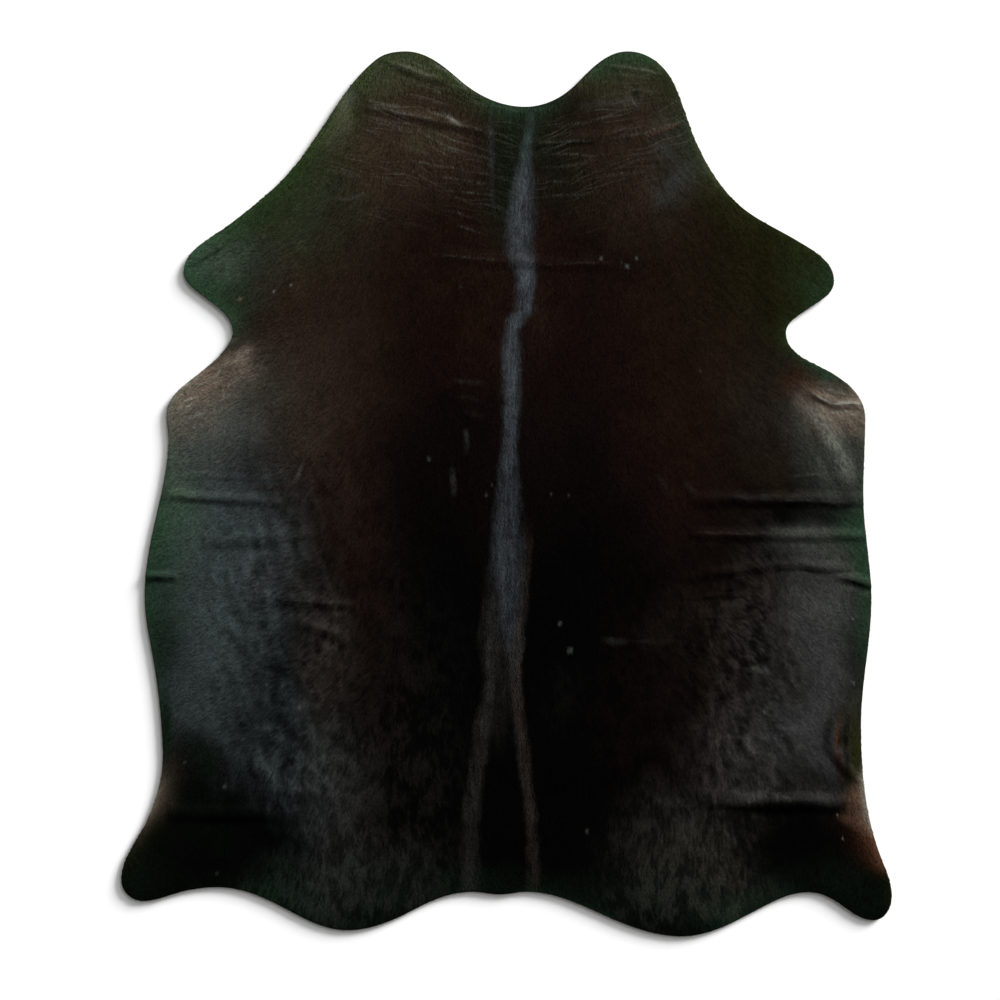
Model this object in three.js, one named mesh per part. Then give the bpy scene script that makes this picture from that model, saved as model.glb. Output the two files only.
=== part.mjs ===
// Cowhide rug: one whole tanned hide with its hair on, lying hair side up.
//
// Units are millimetres. +Z is up and the flesh side rests on z = 0. The origin is under the
// middle of the hide, +Y runs along the spine towards the neck, and +X is to the right as the
// rug is seen from above. The hide is one skin, so the whole rug is a single closed solid:
// a sheet of leather and lying hair, cut to the hide's outline, buckled up off the floor
// where it was folded for storage.

import * as THREE from 'three';

// Size of the hide over its widest and longest points, which the landmarks below reach.
const WIDTH = 2002;
const LENGTH = 2300;

// The sheet itself: tanned leather with short hair combed flat on top of it. The hair is
// thinner at the cut edge and full one rim further in.
const LEATHER = 2;
const HAIR = 3;
const HAIR_AT_RIM = 1;
const RIM = 14;

// How far apart the corners of the faces lie: along the cut edge, along the edge where a
// crease runs out over it, along the creases, and on the flat.
const EDGE_STEP = 26;
const EDGE_STEP_ON_CREASE = 9;
const CREASE_STEP = 24;
const FIELD_STEP = 66;

// Least room between corners: of the crease rows to the edge in rims, of the crease rows to
// each other in halves of a crease, and of the flat's to all others in field steps.
const ROOM_TO_EDGE = 1.5;
const ROOM_ON_CREASE = 0.3;
const ROOM_ON_FIELD = 0.55;

// The cut edge of the hide, clockwise from the left of the neck as seen from above. Each row
// is a landmark on the edge, and heading is the way the edge runs there, in degrees
// counted from +X. Between landmarks the edge is a smooth curve.
const edgeLandmarks = [
  { name: 'left neck lobe, top', x: -262, y: 1150, heading: 0 },
  { name: 'left neck lobe, inner side', x: -121, y: 1075, heading: -41 },
  { name: 'dip of the neck', x: 48, y: 1006, heading: 0 },
  { name: 'right neck lobe, inner side', x: 184, y: 1068, heading: 46 },
  { name: 'right neck lobe, top', x: 315, y: 1150, heading: 0 },
  { name: 'right neck lobe, outer side', x: 437, y: 1062, heading: -66 },
  { name: 'right side of the neck', x: 500, y: 898, heading: -64 },
  { name: 'right shoulder', x: 610, y: 746, heading: -40 },
  { name: 'right foreleg, front', x: 752, y: 660, heading: -31 },
  { name: 'right foreleg, tip', x: 851, y: 551, heading: -92 },
  { name: 'right foreleg, back', x: 782, y: 480, heading: -144 },
  { name: 'right armpit', x: 726, y: 418, heading: -90 },
  { name: 'behind the right armpit', x: 836, y: 319, heading: -28 },
  { name: 'right chest', x: 932, y: 196, heading: -90 },
  { name: 'right flank, drawn in', x: 927, y: -4, heading: -90 },
  { name: 'right belly', x: 948, y: -275, heading: -90 },
  { name: 'right waist', x: 921, y: -600, heading: -90 },
  { name: 'right thigh', x: 973, y: -944, heading: -69 },
  { name: 'right hind leg, side', x: 1001, y: -1045, heading: -90 },
  { name: 'right hind leg, tip', x: 953, y: -1108, heading: 180 },
  { name: 'right hind leg, inner side', x: 870, y: -1068, heading: 145 },
  { name: 'right of the rump', x: 786, y: -1035, heading: 180 },
  { name: 'right rump lobe, outer side', x: 634, y: -1090, heading: 208 },
  { name: 'right rump lobe', x: 455, y: -1150, heading: 180 },
  { name: 'right rump lobe, inner side', x: 256, y: -1096, heading: 156 },
  { name: 'right of the tail', x: 52, y: -1034, heading: 180 },
  { name: 'tail', x: -18, y: -1041, heading: 180 },
  { name: 'left of the tail', x: -88, y: -1034, heading: 180 },
  { name: 'left rump lobe, inner side', x: -240, y: -1080, heading: 208 },
  { name: 'left rump lobe', x: -414, y: -1134, heading: 180 },
  { name: 'left rump lobe, outer side', x: -580, y: -1075, heading: 152 },
  { name: 'left of the rump', x: -752, y: -1022, heading: 180 },
  { name: 'left hind leg, inner side', x: -862, y: -1039, heading: 197 },
  { name: 'left hind leg, tip', x: -944, y: -1058, heading: 180 },
  { name: 'left hind leg, side', x: -1001, y: -1003, heading: 90 },
  { name: 'left thigh', x: -952, y: -882, heading: 60 },
  { name: 'left waist', x: -893, y: -668, heading: 92 },
  { name: 'below the left belly', x: -918, y: -429, heading: 100 },
  { name: 'left belly', x: -940, y: -268, heading: 90 },
  { name: 'above the left belly', x: -914, y: -75, heading: 77 },
  { name: 'left flank, drawn in', x: -878, y: 135, heading: 88 },
  { name: 'left chest', x: -883, y: 208, heading: 88 },
  { name: 'behind the left armpit', x: -802, y: 310, heading: 38 },
  { name: 'left armpit, lower side', x: -726, y: 383, heading: 56 },
  { name: 'left armpit', x: -711, y: 419, heading: 90 },
  { name: 'left foreleg, back', x: -788, y: 514, heading: 142 },
  { name: 'left foreleg, tip', x: -839, y: 578, heading: 88 },
  { name: 'left foreleg, front', x: -727, y: 695, heading: 37 },
  { name: 'left shoulder', x: -529, y: 879, heading: 54 },
  { name: 'left side of the neck', x: -436, y: 1017, heading: 57 },
  { name: 'left neck lobe, outer side', x: -340, y: 1128, heading: 39 },
];

// Where the hide was folded it stands a little off the floor in long soft ridges. Each runs
// from one end to the other, bowed to its left by bow at the middle, is highest there and
// fades out at both ends. half is half of its width.
const creases = [
  { name: 'neck, left top', x1: -325, y1: 1130, x2: -150, y2: 1066, bow: -4, height: 4, half: 12 },
  { name: 'neck, left', x1: -365, y1: 1012, x2: -30, y2: 935, bow: -2, height: 5, half: 15 },
  { name: 'neck, right', x1: 20, y1: 905, x2: 455, y2: 963, bow: -5, height: 5, half: 15 },
  { name: 'neck, low', x1: -170, y1: 619, x2: 290, y2: 596, bow: -6, height: 4, half: 14 },
  { name: 'right armpit', x1: 780, y1: 270, x2: 935, y2: 232, bow: -14, height: 5, half: 14 },
  { name: 'right chest, slanting', x1: 785, y1: 225, x2: 888, y2: 20, bow: 12, height: 6, half: 34 },
  { name: 'right flank, first', x1: 470, y1: -14, x2: 950, y2: -18, bow: 2, height: 9, half: 20 },
  { name: 'right flank, second', x1: 470, y1: -104, x2: 960, y2: -110, bow: 0, height: 7, half: 17 },
  { name: 'right flank, slanting', x1: 450, y1: -226, x2: 790, y2: -180, bow: 8, height: 6, half: 16 },
  { name: 'right flank, short', x1: 745, y1: -182, x2: 900, y2: -198, bow: 0, height: 6, half: 14 },
  { name: 'right belly, edge', x1: 850, y1: -212, x2: 975, y2: -244, bow: 4, height: 8, half: 15 },
  { name: 'right waist, rolled rim', x1: 915, y1: -515, x2: 915, y2: -752, bow: -72, height: 9, half: 20 },
  { name: 'right thigh, deep', x1: 455, y1: -784, x2: 890, y2: -808, bow: -3, height: 13, half: 22 },
  { name: 'left armpit', x1: -840, y1: 262, x2: -640, y2: 372, bow: 6, height: 5, half: 18 },
  { name: 'left flank, first', x1: -895, y1: -2, x2: -585, y2: -22, bow: 0, height: 7, half: 16 },
  { name: 'left flank, second', x1: -790, y1: -124, x2: -515, y2: -102, bow: -5, height: 6, half: 15 },
  { name: 'left belly, edge', x1: -960, y1: -213, x2: -855, y2: -217, bow: 0, height: 7, half: 14 },
  { name: 'left flank, inner', x1: -600, y1: -272, x2: -385, y2: -294, bow: 4, height: 6, half: 15 },
  { name: 'left flank, short', x1: -560, y1: -330, x2: -415, y2: -384, bow: 8, height: 7, half: 15 },
  { name: 'left thigh, long', x1: -880, y1: -829, x2: -590, y2: -832, bow: 2, height: 10, half: 20 },
];

const degrees = Math.PI / 180;

// A stretch of the edge between two landmarks: a cubic curve whose handles are as long as a
// round arc through the same turn would have them.
function addStretch(path, from, to) {
  const chord = Math.hypot(to.x - from.x, to.y - from.y);
  let turn = (to.heading - from.heading) % 360;
  if (turn > 180) turn -= 360;
  if (turn < -180) turn += 360;
  const reach = chord / (3 * Math.cos((turn * degrees) / 4) ** 2);
  path.bezierCurveTo(
    from.x + reach * Math.cos(from.heading * degrees),
    from.y + reach * Math.sin(from.heading * degrees),
    to.x - reach * Math.cos(to.heading * degrees),
    to.y - reach * Math.sin(to.heading * degrees),
    to.x,
    to.y,
  );
}

function edgePath() {
  const path = new THREE.Path();
  path.moveTo(edgeLandmarks[0].x, edgeLandmarks[0].y);
  edgeLandmarks.forEach((landmark, i) => {
    addStretch(path, landmark, edgeLandmarks[(i + 1) % edgeLandmarks.length]);
  });
  return path;
}

// How far the hide stands off the floor at a point: zero all over, but for the creases.
function liftFromCrease(crease, x, y) {
  const runX = crease.x2 - crease.x1;
  const runY = crease.y2 - crease.y1;
  const run = Math.hypot(runX, runY);
  const along = ((x - crease.x1) * runX + (y - crease.y1) * runY) / run ** 2;
  if (along <= 0 || along >= 1) return 0;
  const rise = Math.sin(Math.PI * along);
  const across = ((y - crease.y1) * runX - (x - crease.x1) * runY) / run - crease.bow * rise;
  if (Math.abs(across) >= crease.half) return 0;
  const crest = 0.5 + 0.5 * Math.cos((Math.PI * across) / crease.half);
  return crease.height * Math.sqrt(rise) * crest;
}

function lift(x, y) {
  return creases.reduce((most, crease) => Math.max(most, liftFromCrease(crease, x, y)), 0);
}

// Corners along the edge, closer together where a crease runs out over it.
function edgePoints() {
  const path = edgePath();
  const spaced = path.getSpacedPoints(Math.round(path.getLength() / EDGE_STEP_ON_CREASE));
  spaced.pop();
  const kept = [];
  for (const point of spaced) {
    const step = lift(point.x, point.y) > 0 ? EDGE_STEP_ON_CREASE : EDGE_STEP;
    const least = step - EDGE_STEP_ON_CREASE / 2;
    if (kept.length === 0 || kept.at(-1).distanceTo(point) > least) kept.push(point);
  }
  return kept;
}

// The same corners moved inwards by the width of the rim, where the hair is full.
function rimPoints(edge) {
  return edge.map((point, i) => {
    const before = edge[(i + edge.length - 1) % edge.length];
    const after = edge[(i + 1) % edge.length];
    const inwards = new THREE.Vector2(after.y - before.y, before.x - after.x).normalize();
    return point.clone().addScaledVector(inwards, RIM);
  });
}

function isInside(edge, x, y) {
  let inside = false;
  for (let i = 0, j = edge.length - 1; i < edge.length; j = i, i += 1) {
    const a = edge[i];
    const b = edge[j];
    const spans = a.y > y !== b.y > y;
    if (spans && x < ((b.x - a.x) * (y - a.y)) / (b.y - a.y) + a.x) inside = !inside;
  }
  return inside;
}

function distanceToNearest(points, x, y) {
  return points.reduce((least, p) => Math.min(least, Math.hypot(p.x - x, p.y - y)), Infinity);
}

// Corners on each crease: its crest, its two feet and half way up on both sides.
function creasePoints(edge) {
  const placed = [];
  for (const crease of creases) {
    const run = new THREE.Vector2(crease.x2 - crease.x1, crease.y2 - crease.y1);
    const steps = Math.ceil(run.length() / CREASE_STEP);
    const side = new THREE.Vector2(-run.y, run.x).normalize();
    for (let i = 0; i <= steps; i += 1) {
      const along = i / steps;
      for (const share of [0, -0.5, 0.5, -1, 1]) {
        const away = crease.bow * Math.sin(Math.PI * along) + share * crease.half;
        const x = crease.x1 + run.x * along + side.x * away;
        const y = crease.y1 + run.y * along + side.y * away;
        const clearOfEdge = isInside(edge, x, y) && distanceToNearest(edge, x, y) > RIM * ROOM_TO_EDGE;
        if (clearOfEdge && distanceToNearest(placed, x, y) > crease.half * ROOM_ON_CREASE) {
          placed.push(new THREE.Vector2(x, y));
        }
      }
    }
  }
  return placed;
}

// Corners on the flat of the hide, in staggered rows, wherever nothing else is near.
function fieldPoints(edge, others) {
  const placed = [];
  const rowStep = FIELD_STEP * Math.sin(60 * degrees);
  for (let row = 0; row * rowStep < LENGTH; row += 1) {
    for (let i = 0; i * FIELD_STEP < WIDTH; i += 1) {
      const x = (i + (row % 2) / 2) * FIELD_STEP - WIDTH / 2;
      const y = row * rowStep - LENGTH / 2;
      const nearest = distanceToNearest(others, x, y);
      if (isInside(edge, x, y) && nearest > FIELD_STEP * ROOM_ON_FIELD) {
        placed.push(new THREE.Vector2(x, y));
      }
    }
  }
  return placed;
}

// True when point p lies in the circle through the corners a, b and c.
function inCircle(a, b, c, p) {
  const [ax, ay] = [a.x - p.x, a.y - p.y];
  const [bx, by] = [b.x - p.x, b.y - p.y];
  const [cx, cy] = [c.x - p.x, c.y - p.y];
  const a2 = ax * ax + ay * ay;
  const b2 = bx * bx + by * by;
  const c2 = cx * cx + cy * cy;
  return ax * (by * c2 - b2 * cy) - ay * (bx * c2 - b2 * cx) + a2 * (bx * cy - by * cx) > 0;
}

// Joins scattered corners into well-shaped triangles (a Delaunay triangulation), starting
// from one outer triangle. Corners are added one at a time, and the triangles whose circles
// a new corner falls in are made anew around it.
function triangulate(corners) {
  const far = 20 * LENGTH;
  const outer = [new THREE.Vector2(-far, -far), new THREE.Vector2(far, -far), new THREE.Vector2(0, far)];
  const all = [...corners, ...outer];
  let triangles = [[corners.length, corners.length + 1, corners.length + 2]];
  corners.forEach((corner, index) => {
    const kept = [];
    const open = new Map();
    for (const triangle of triangles) {
      const [a, b, c] = triangle;
      if (!inCircle(all[a], all[b], all[c], corner)) {
        kept.push(triangle);
        continue;
      }
      for (const [from, to] of [[a, b], [b, c], [c, a]]) {
        if (!open.delete(`${to},${from}`)) open.set(`${from},${to}`, [from, to]);
      }
    }
    triangles = kept;
    for (const [from, to] of open.values()) triangles.push([from, to, index]);
  });
  return triangles.filter((triangle) => triangle.every((i) => i < corners.length));
}

// Moves an inner corner by up to a fifth of a millimetre, differently for each, so that no
// four corners of a straight row lie on one circle.
function unsettle(corner, i) {
  corner.x += 0.2 * Math.sin(12.9 * i);
  corner.y += 0.2 * Math.sin(78.2 * i);
}

// The hide: an upper and a lower skin over the same triangles, with a wall round the edge.
function hideGeometry() {
  const edge = edgePoints();
  const rim = rimPoints(edge);
  const onCreases = creasePoints(edge);
  const onField = fieldPoints(edge, [...edge, ...rim, ...onCreases]);
  const corners = [...edge, ...rim, ...onCreases, ...onField];

  corners.slice(edge.length).forEach(unsettle);

  const faces = triangulate(corners).filter(([a, b, c]) => {
    const x = (corners[a].x + corners[b].x + corners[c].x) / 3;
    const y = (corners[a].y + corners[b].y + corners[c].y) / 3;
    return isInside(edge, x, y);
  });

  const count = corners.length;
  const lower = corners.map((corner) => [corner.x, corner.y, lift(corner.x, corner.y)]);
  const upper = lower.map(([x, y, z], i) => {
    const hair = i < edge.length ? HAIR_AT_RIM : HAIR;
    return [x, y, z + LEATHER + hair];
  });

  const index = [];
  const once = new Map();
  for (const [a, b, c] of faces) {
    index.push(a + count, b + count, c + count, a, c, b);
    for (const [from, to] of [[a, b], [b, c], [c, a]]) {
      if (!once.delete(`${to},${from}`)) once.set(`${from},${to}`, [from, to]);
    }
  }
  for (const [from, to] of once.values()) {
    index.push(from, to, to + count, from, to + count, from + count);
  }

  const geometry = new THREE.BufferGeometry();
  geometry.setAttribute('position', new THREE.Float32BufferAttribute([...lower, ...upper].flat(), 3));
  geometry.setIndex(index);
  geometry.computeVertexNormals();
  return geometry;
}

const hairOnHide = new THREE.MeshStandardMaterial({ color: 0x1a1412, roughness: 0.7, metalness: 0 });

const hide = new THREE.Mesh(hideGeometry(), hairOnHide);
hide.name = 'hide';

const rug = new THREE.Group();
rug.add(hide);

export default rug;
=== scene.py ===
# A cowhide rug, lying flat on the floor with its hair side up and seen from straight above.
#
# Metres, in the CAD's frame: +Z is up out of the hair side, +Y runs along the spine towards
# the neck, and +X is to the right as the rug is seen from above. The CAD has the whole hide
# as one plain solid. Here it is a thin sheet of leather, the coat of short hair that lies on
# it, and the locks in which that hair lies.
import math
from collections import namedtuple

import bpy
import numpy as np
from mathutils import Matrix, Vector
from mathutils.geometry import delaunay_2d_cdt
from mathutils.kdtree import KDTree


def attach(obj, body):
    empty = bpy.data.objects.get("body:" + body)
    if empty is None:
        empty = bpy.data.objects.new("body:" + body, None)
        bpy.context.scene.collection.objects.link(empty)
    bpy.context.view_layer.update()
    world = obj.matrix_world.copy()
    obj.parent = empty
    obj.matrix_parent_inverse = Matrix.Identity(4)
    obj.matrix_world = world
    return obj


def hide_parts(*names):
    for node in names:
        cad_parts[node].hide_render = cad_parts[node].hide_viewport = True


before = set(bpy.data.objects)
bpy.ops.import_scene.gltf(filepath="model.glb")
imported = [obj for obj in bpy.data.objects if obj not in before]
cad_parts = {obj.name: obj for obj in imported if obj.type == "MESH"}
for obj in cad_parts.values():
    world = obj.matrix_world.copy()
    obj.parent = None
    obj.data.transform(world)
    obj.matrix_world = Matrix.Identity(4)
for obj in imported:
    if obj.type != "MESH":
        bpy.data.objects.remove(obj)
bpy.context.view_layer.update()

# Studio: a floor of white paper, two wide soft lamps beyond the rug's right shoulder, a strong
# one low and a weak one high, pale walls all round, and a camera that hangs straight above the
# rug and takes in a square of floor.
VIEW_WIDTH = 2.6
VIEW_MIDDLE_X = -0.017
VIEW_MIDDLE_Y = -0.016
LENS_MM = 85
SENSOR_MM = 36
FLOOR_WIDTH = 400
FLOOR_BELOW_RUG = 0.008
FLOOR_WHITE = 0.93
FLOOR_ROUGHNESS = 0.9
Lamp = namedtuple("Lamp", "name heading height softness power")
LAMPS = (
    Lamp("low lamp", 48, 18, 24, 7.0),
    Lamp("high lamp", 40, 45, 50, 1.3),
)
WALL_LIGHT = 0.16
WALL_WHITE = 0.9

scene = bpy.context.scene
scene.view_settings.view_transform = "Standard"


def add_object(name, data):
    """A new object in the scene, at the origin."""
    placed = bpy.data.objects.new(name, data)
    scene.collection.objects.link(placed)
    return placed


def feed(tree, node, inputs):
    """Sets each of these inputs of a node, to a plain value or to another node's output."""
    for name, value in inputs.items():
        if isinstance(value, bpy.types.NodeSocket):
            tree.links.new(value, node.inputs[name])
        else:
            node.inputs[name].default_value = value


def add_node(tree, kind, inputs=None, **settings):
    """A new node with these settings and these inputs."""
    node = tree.nodes.new(kind)
    for name, value in settings.items():
        setattr(node, name, value)
    feed(tree, node, inputs or {})
    return node


def new_material(name):
    """A new material, with its node tree and the one shader in it."""
    material = bpy.data.materials.new(name)
    material.use_nodes = True
    return material, material.node_tree, material.node_tree.nodes["Principled BSDF"]


camera = add_object("camera over the rug", bpy.data.cameras.new("camera over the rug"))
camera.data.lens = LENS_MM
camera.data.sensor_width = SENSOR_MM
camera.location = (VIEW_MIDDLE_X, VIEW_MIDDLE_Y, VIEW_WIDTH * LENS_MM / SENSOR_MM)
scene.camera = camera

for wanted in LAMPS:
    lamp = add_object(wanted.name, bpy.data.lights.new(wanted.name, "SUN"))
    lamp.data.energy = wanted.power
    lamp.data.angle = math.radians(wanted.softness)
    heading, height = math.radians(wanted.heading), math.radians(wanted.height)
    lamp_way = Vector((
        math.sin(heading) * math.cos(height), math.cos(heading) * math.cos(height), math.sin(height)))
    lamp.rotation_euler = lamp_way.to_track_quat("Z", "Y").to_euler()

# The walls light the rug a little, and look pale to the camera.
walls = bpy.data.worlds.new("pale studio walls")
walls.use_nodes = True
wall_tree = walls.node_tree
wall_light = wall_tree.nodes["Background"]
feed(wall_tree, wall_light, {"Color": (1, 1, 1, 1), "Strength": WALL_LIGHT})
wall_look = add_node(wall_tree, "ShaderNodeBackground", {
    "Color": (WALL_WHITE, WALL_WHITE, WALL_WHITE, 1)})
ray = add_node(wall_tree, "ShaderNodeLightPath")
lit_or_seen = add_node(wall_tree, "ShaderNodeMixShader", {
    "Fac": ray.outputs["Is Camera Ray"], 1: wall_light.outputs["Background"],
    2: wall_look.outputs["Background"]})
feed(wall_tree, wall_tree.nodes["World Output"], {"Surface": lit_or_seen.outputs["Shader"]})
scene.world = walls

paper, paper_tree, paper_surface = new_material("white paper")
feed(paper_tree, paper_surface, {
    "Base Color": (FLOOR_WHITE, FLOOR_WHITE, FLOOR_WHITE, 1), "Roughness": FLOOR_ROUGHNESS})
floor_mesh = bpy.data.meshes.new("floor")
half_floor = FLOOR_WIDTH / 2
floor_corners = [
    (east * half_floor, north * half_floor, -FLOOR_BELOW_RUG)
    for east, north in ((-1, -1), (1, -1), (1, 1), (-1, 1))
]
floor_mesh.from_pydata(floor_corners, [], [(0, 1, 2, 3)])
floor_mesh.materials.append(paper)
floor = add_object("floor", floor_mesh)

# Leather: the whole tanned skin, 2 mm thick, cut to its own outline and split to a pale suede
# on its flesh side. It lies flat but for the ridges along which it was folded in storage.
LEATHER = 0.002
LEATHER_STEP = 0.024
EDGE_STEP = 0.010
EDGE_DETAIL = 0.003
# No corner lies nearer to the edge than this share of a step along it.
ROOM_TO_EDGE = 0.7
CREASE_WANDER = 0.005
CREASE_UNEVEN = 0.25
SUEDE_DARK = (0.24, 0.17, 0.11, 1)
SUEDE_LIGHT = (0.45, 0.36, 0.27, 1)

# The cut edge, clockwise from the left of the neck as seen from above. heading is the way the
# edge runs at a landmark, in degrees from +X. Between landmarks it is a smooth curve.
Landmark = namedtuple("Landmark", "name x y heading")
hide_landmarks = [Landmark(*row) for row in (
    ("left neck lobe, top", -0.262, 1.15, 0),
    ("left neck lobe, inner side", -0.121, 1.075, -41),
    ("dip of the neck", 0.048, 1.006, 0),
    ("right neck lobe, inner side", 0.184, 1.068, 46),
    ("right neck lobe, top", 0.315, 1.15, 0),
    ("right neck lobe, outer side", 0.437, 1.062, -66),
    ("right side of the neck", 0.5, 0.898, -64),
    ("right shoulder", 0.61, 0.746, -40),
    ("right foreleg, front", 0.752, 0.66, -31),
    ("right foreleg, tip", 0.851, 0.551, -92),
    ("right foreleg, back", 0.782, 0.48, -144),
    ("right armpit", 0.726, 0.418, -90),
    ("behind the right armpit", 0.836, 0.319, -28),
    ("right chest", 0.932, 0.196, -90),
    ("right flank, drawn in", 0.927, -0.004, -90),
    ("right belly", 0.948, -0.275, -90),
    ("right waist", 0.921, -0.6, -90),
    ("right thigh", 0.973, -0.944, -69),
    ("right hind leg, side", 1.001, -1.045, -90),
    ("right hind leg, tip", 0.953, -1.108, 180),
    ("right hind leg, inner side", 0.87, -1.068, 145),
    ("right of the rump", 0.786, -1.035, 180),
    ("right rump lobe, outer side", 0.634, -1.09, 208),
    ("right rump lobe", 0.455, -1.15, 180),
    ("right rump lobe, inner side", 0.256, -1.096, 156),
    ("right of the tail", 0.052, -1.034, 180),
    ("tail", -0.018, -1.041, 180),
    ("left of the tail", -0.088, -1.034, 180),
    ("left rump lobe, inner side", -0.24, -1.08, 208),
    ("left rump lobe", -0.414, -1.134, 180),
    ("left rump lobe, outer side", -0.58, -1.075, 152),
    ("left of the rump", -0.752, -1.022, 180),
    ("left hind leg, inner side", -0.862, -1.039, 197),
    ("left hind leg, tip", -0.944, -1.058, 180),
    ("left hind leg, side", -1.001, -1.003, 90),
    ("left thigh", -0.952, -0.882, 60),
    ("left waist", -0.893, -0.668, 92),
    ("below the left belly", -0.918, -0.429, 100),
    ("left belly", -0.94, -0.268, 90),
    ("above the left belly", -0.914, -0.075, 77),
    ("left flank, drawn in", -0.878, 0.135, 88),
    ("left chest", -0.883, 0.208, 88),
    ("behind the left armpit", -0.802, 0.31, 38),
    ("left armpit, lower side", -0.726, 0.383, 56),
    ("left armpit", -0.711, 0.419, 90),
    ("left foreleg, back", -0.788, 0.514, 142),
    ("left foreleg, tip", -0.839, 0.578, 88),
    ("left foreleg, front", -0.727, 0.695, 37),
    ("left shoulder", -0.529, 0.879, 54),
    ("left side of the neck", -0.436, 1.017, 57),
    ("left neck lobe, outer side", -0.34, 1.128, 39),
)]

# A ridge runs from its first end to its second, bowed to its left by bow at the middle, and
# fades out at both ends. half is half of its width. It wanders a little off that line.
Crease = namedtuple("Crease", "name x1 y1 x2 y2 bow height half")
creases = [Crease(*row) for row in (
    ("neck, left top", -0.325, 1.13, -0.15, 1.066, -0.004, 0.004, 0.017),
    ("neck, left", -0.365, 1.012, -0.03, 0.935, -0.002, 0.005, 0.021),
    ("neck, right", 0.02, 0.905, 0.455, 0.963, -0.005, 0.005, 0.021),
    ("neck, low", -0.17, 0.619, 0.29, 0.596, -0.006, 0.004, 0.026),
    ("right armpit", 0.78, 0.27, 0.935, 0.232, -0.014, 0.005, 0.02),
    ("right chest, slanting", 0.785, 0.225, 0.888, 0.02, 0.012, 0.006, 0.048),
    ("right flank, first", 0.47, -0.014, 0.95, -0.018, 0.002, 0.009, 0.028),
    ("right flank, second", 0.47, -0.104, 0.96, -0.11, 0, 0.007, 0.024),
    ("right flank, slanting", 0.45, -0.226, 0.79, -0.18, 0.008, 0.006, 0.022),
    ("right flank, short", 0.745, -0.182, 0.9, -0.198, 0, 0.006, 0.02),
    ("right belly, edge", 0.85, -0.212, 0.975, -0.244, 0.004, 0.008, 0.021),
    ("right waist, rolled rim", 0.915, -0.515, 0.915, -0.752, -0.072, 0.009, 0.028),
    ("right thigh, deep", 0.455, -0.784, 0.89, -0.808, -0.003, 0.012, 0.031),
    ("left armpit", -0.84, 0.262, -0.64, 0.372, 0.006, 0.005, 0.025),
    ("left flank, first", -0.895, -0.002, -0.585, -0.022, 0, 0.007, 0.022),
    ("left flank, second", -0.79, -0.124, -0.515, -0.102, -0.005, 0.006, 0.03),
    ("left belly, edge", -0.96, -0.213, -0.855, -0.217, 0, 0.007, 0.02),
    ("left flank, inner", -0.6, -0.272, -0.385, -0.294, 0.004, 0.006, 0.026),
    ("left flank, short", -0.56, -0.33, -0.415, -0.384, 0.008, 0.007, 0.026),
    ("left thigh, long", -0.88, -0.829, -0.59, -0.832, 0.002, 0.01, 0.028),
)]


def stretch_of_edge(start, end, step):
    """Points on the cubic curve from one landmark up to the next, about a step apart."""
    chord = math.hypot(end.x - start.x, end.y - start.y)
    turn = (end.heading - start.heading + 180) % 360 - 180
    reach = chord / (3 * math.cos(math.radians(turn / 4)) ** 2)
    leaving, coming = math.radians(start.heading), math.radians(end.heading)
    corners = np.array([
        (start.x, start.y),
        (start.x + reach * math.cos(leaving), start.y + reach * math.sin(leaving)),
        (end.x - reach * math.cos(coming), end.y - reach * math.sin(coming)),
        (end.x, end.y),
    ])
    steps = math.ceil(chord / step)
    t = np.arange(steps)[:, None] / steps
    blend = np.hstack([(1 - t) ** 3, 3 * t * (1 - t) ** 2, 3 * t * t * (1 - t), t ** 3])
    return blend @ corners


def hide_edge(step):
    """The hide's cut edge as a closed row of points, clockwise as seen from above."""
    following = hide_landmarks[1:] + hide_landmarks[:1]
    stretches = [stretch_of_edge(a, b, step) for a, b in zip(hide_landmarks, following)]
    return np.vstack(stretches)


def inwards_from(edge):
    """The way into the hide at each point of its edge, as a unit vector."""
    along = np.roll(edge, -1, axis=0) - np.roll(edge, 1, axis=0)
    inwards = np.column_stack([along[:, 1], -along[:, 0]])
    return inwards / np.linalg.norm(inwards, axis=1)[:, None]


fine_edge = hide_edge(EDGE_DETAIL)
fine_edge_inwards = inwards_from(fine_edge)
hide_west, hide_south = fine_edge.min(axis=0)
hide_east, hide_north = fine_edge.max(axis=0)
nearest_edge = KDTree(len(fine_edge))
for i, (edge_x, edge_y) in enumerate(fine_edge):
    nearest_edge.insert((edge_x, edge_y, 0), i)
nearest_edge.balance()


def depth_in(x, y):
    """How far in from the cut edge each point lies: less than 0 outside the hide."""
    nearest = np.array([nearest_edge.find((px, py, 0))[1] for px, py in zip(x, y)])
    away = np.column_stack([x, y]) - fine_edge[nearest]
    side = np.sign((away * fine_edge_inwards[nearest]).sum(axis=1))
    return side * np.hypot(away[:, 0], away[:, 1])


def eased(share):
    """0 to 1, smooth at both ends."""
    share = np.clip(share, 0, 1)
    return share * share * (3 - 2 * share)


def cloud(x, y, size, seed):
    """Soft random patches about as wide as size, from 0 to 1."""
    cells = 256
    heights = np.random.default_rng(seed).random((cells, cells))
    column, row = np.floor(x / size).astype(int), np.floor(y / size).astype(int)
    across, up = eased(x / size - column), eased(y / size - row)
    left, right = column % cells, (column + 1) % cells
    low, high = row % cells, (row + 1) % cells
    bottom = heights[left, low] * (1 - across) + heights[right, low] * across
    top = heights[left, high] * (1 - across) + heights[right, high] * across
    return bottom * (1 - up) + top * up


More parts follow.
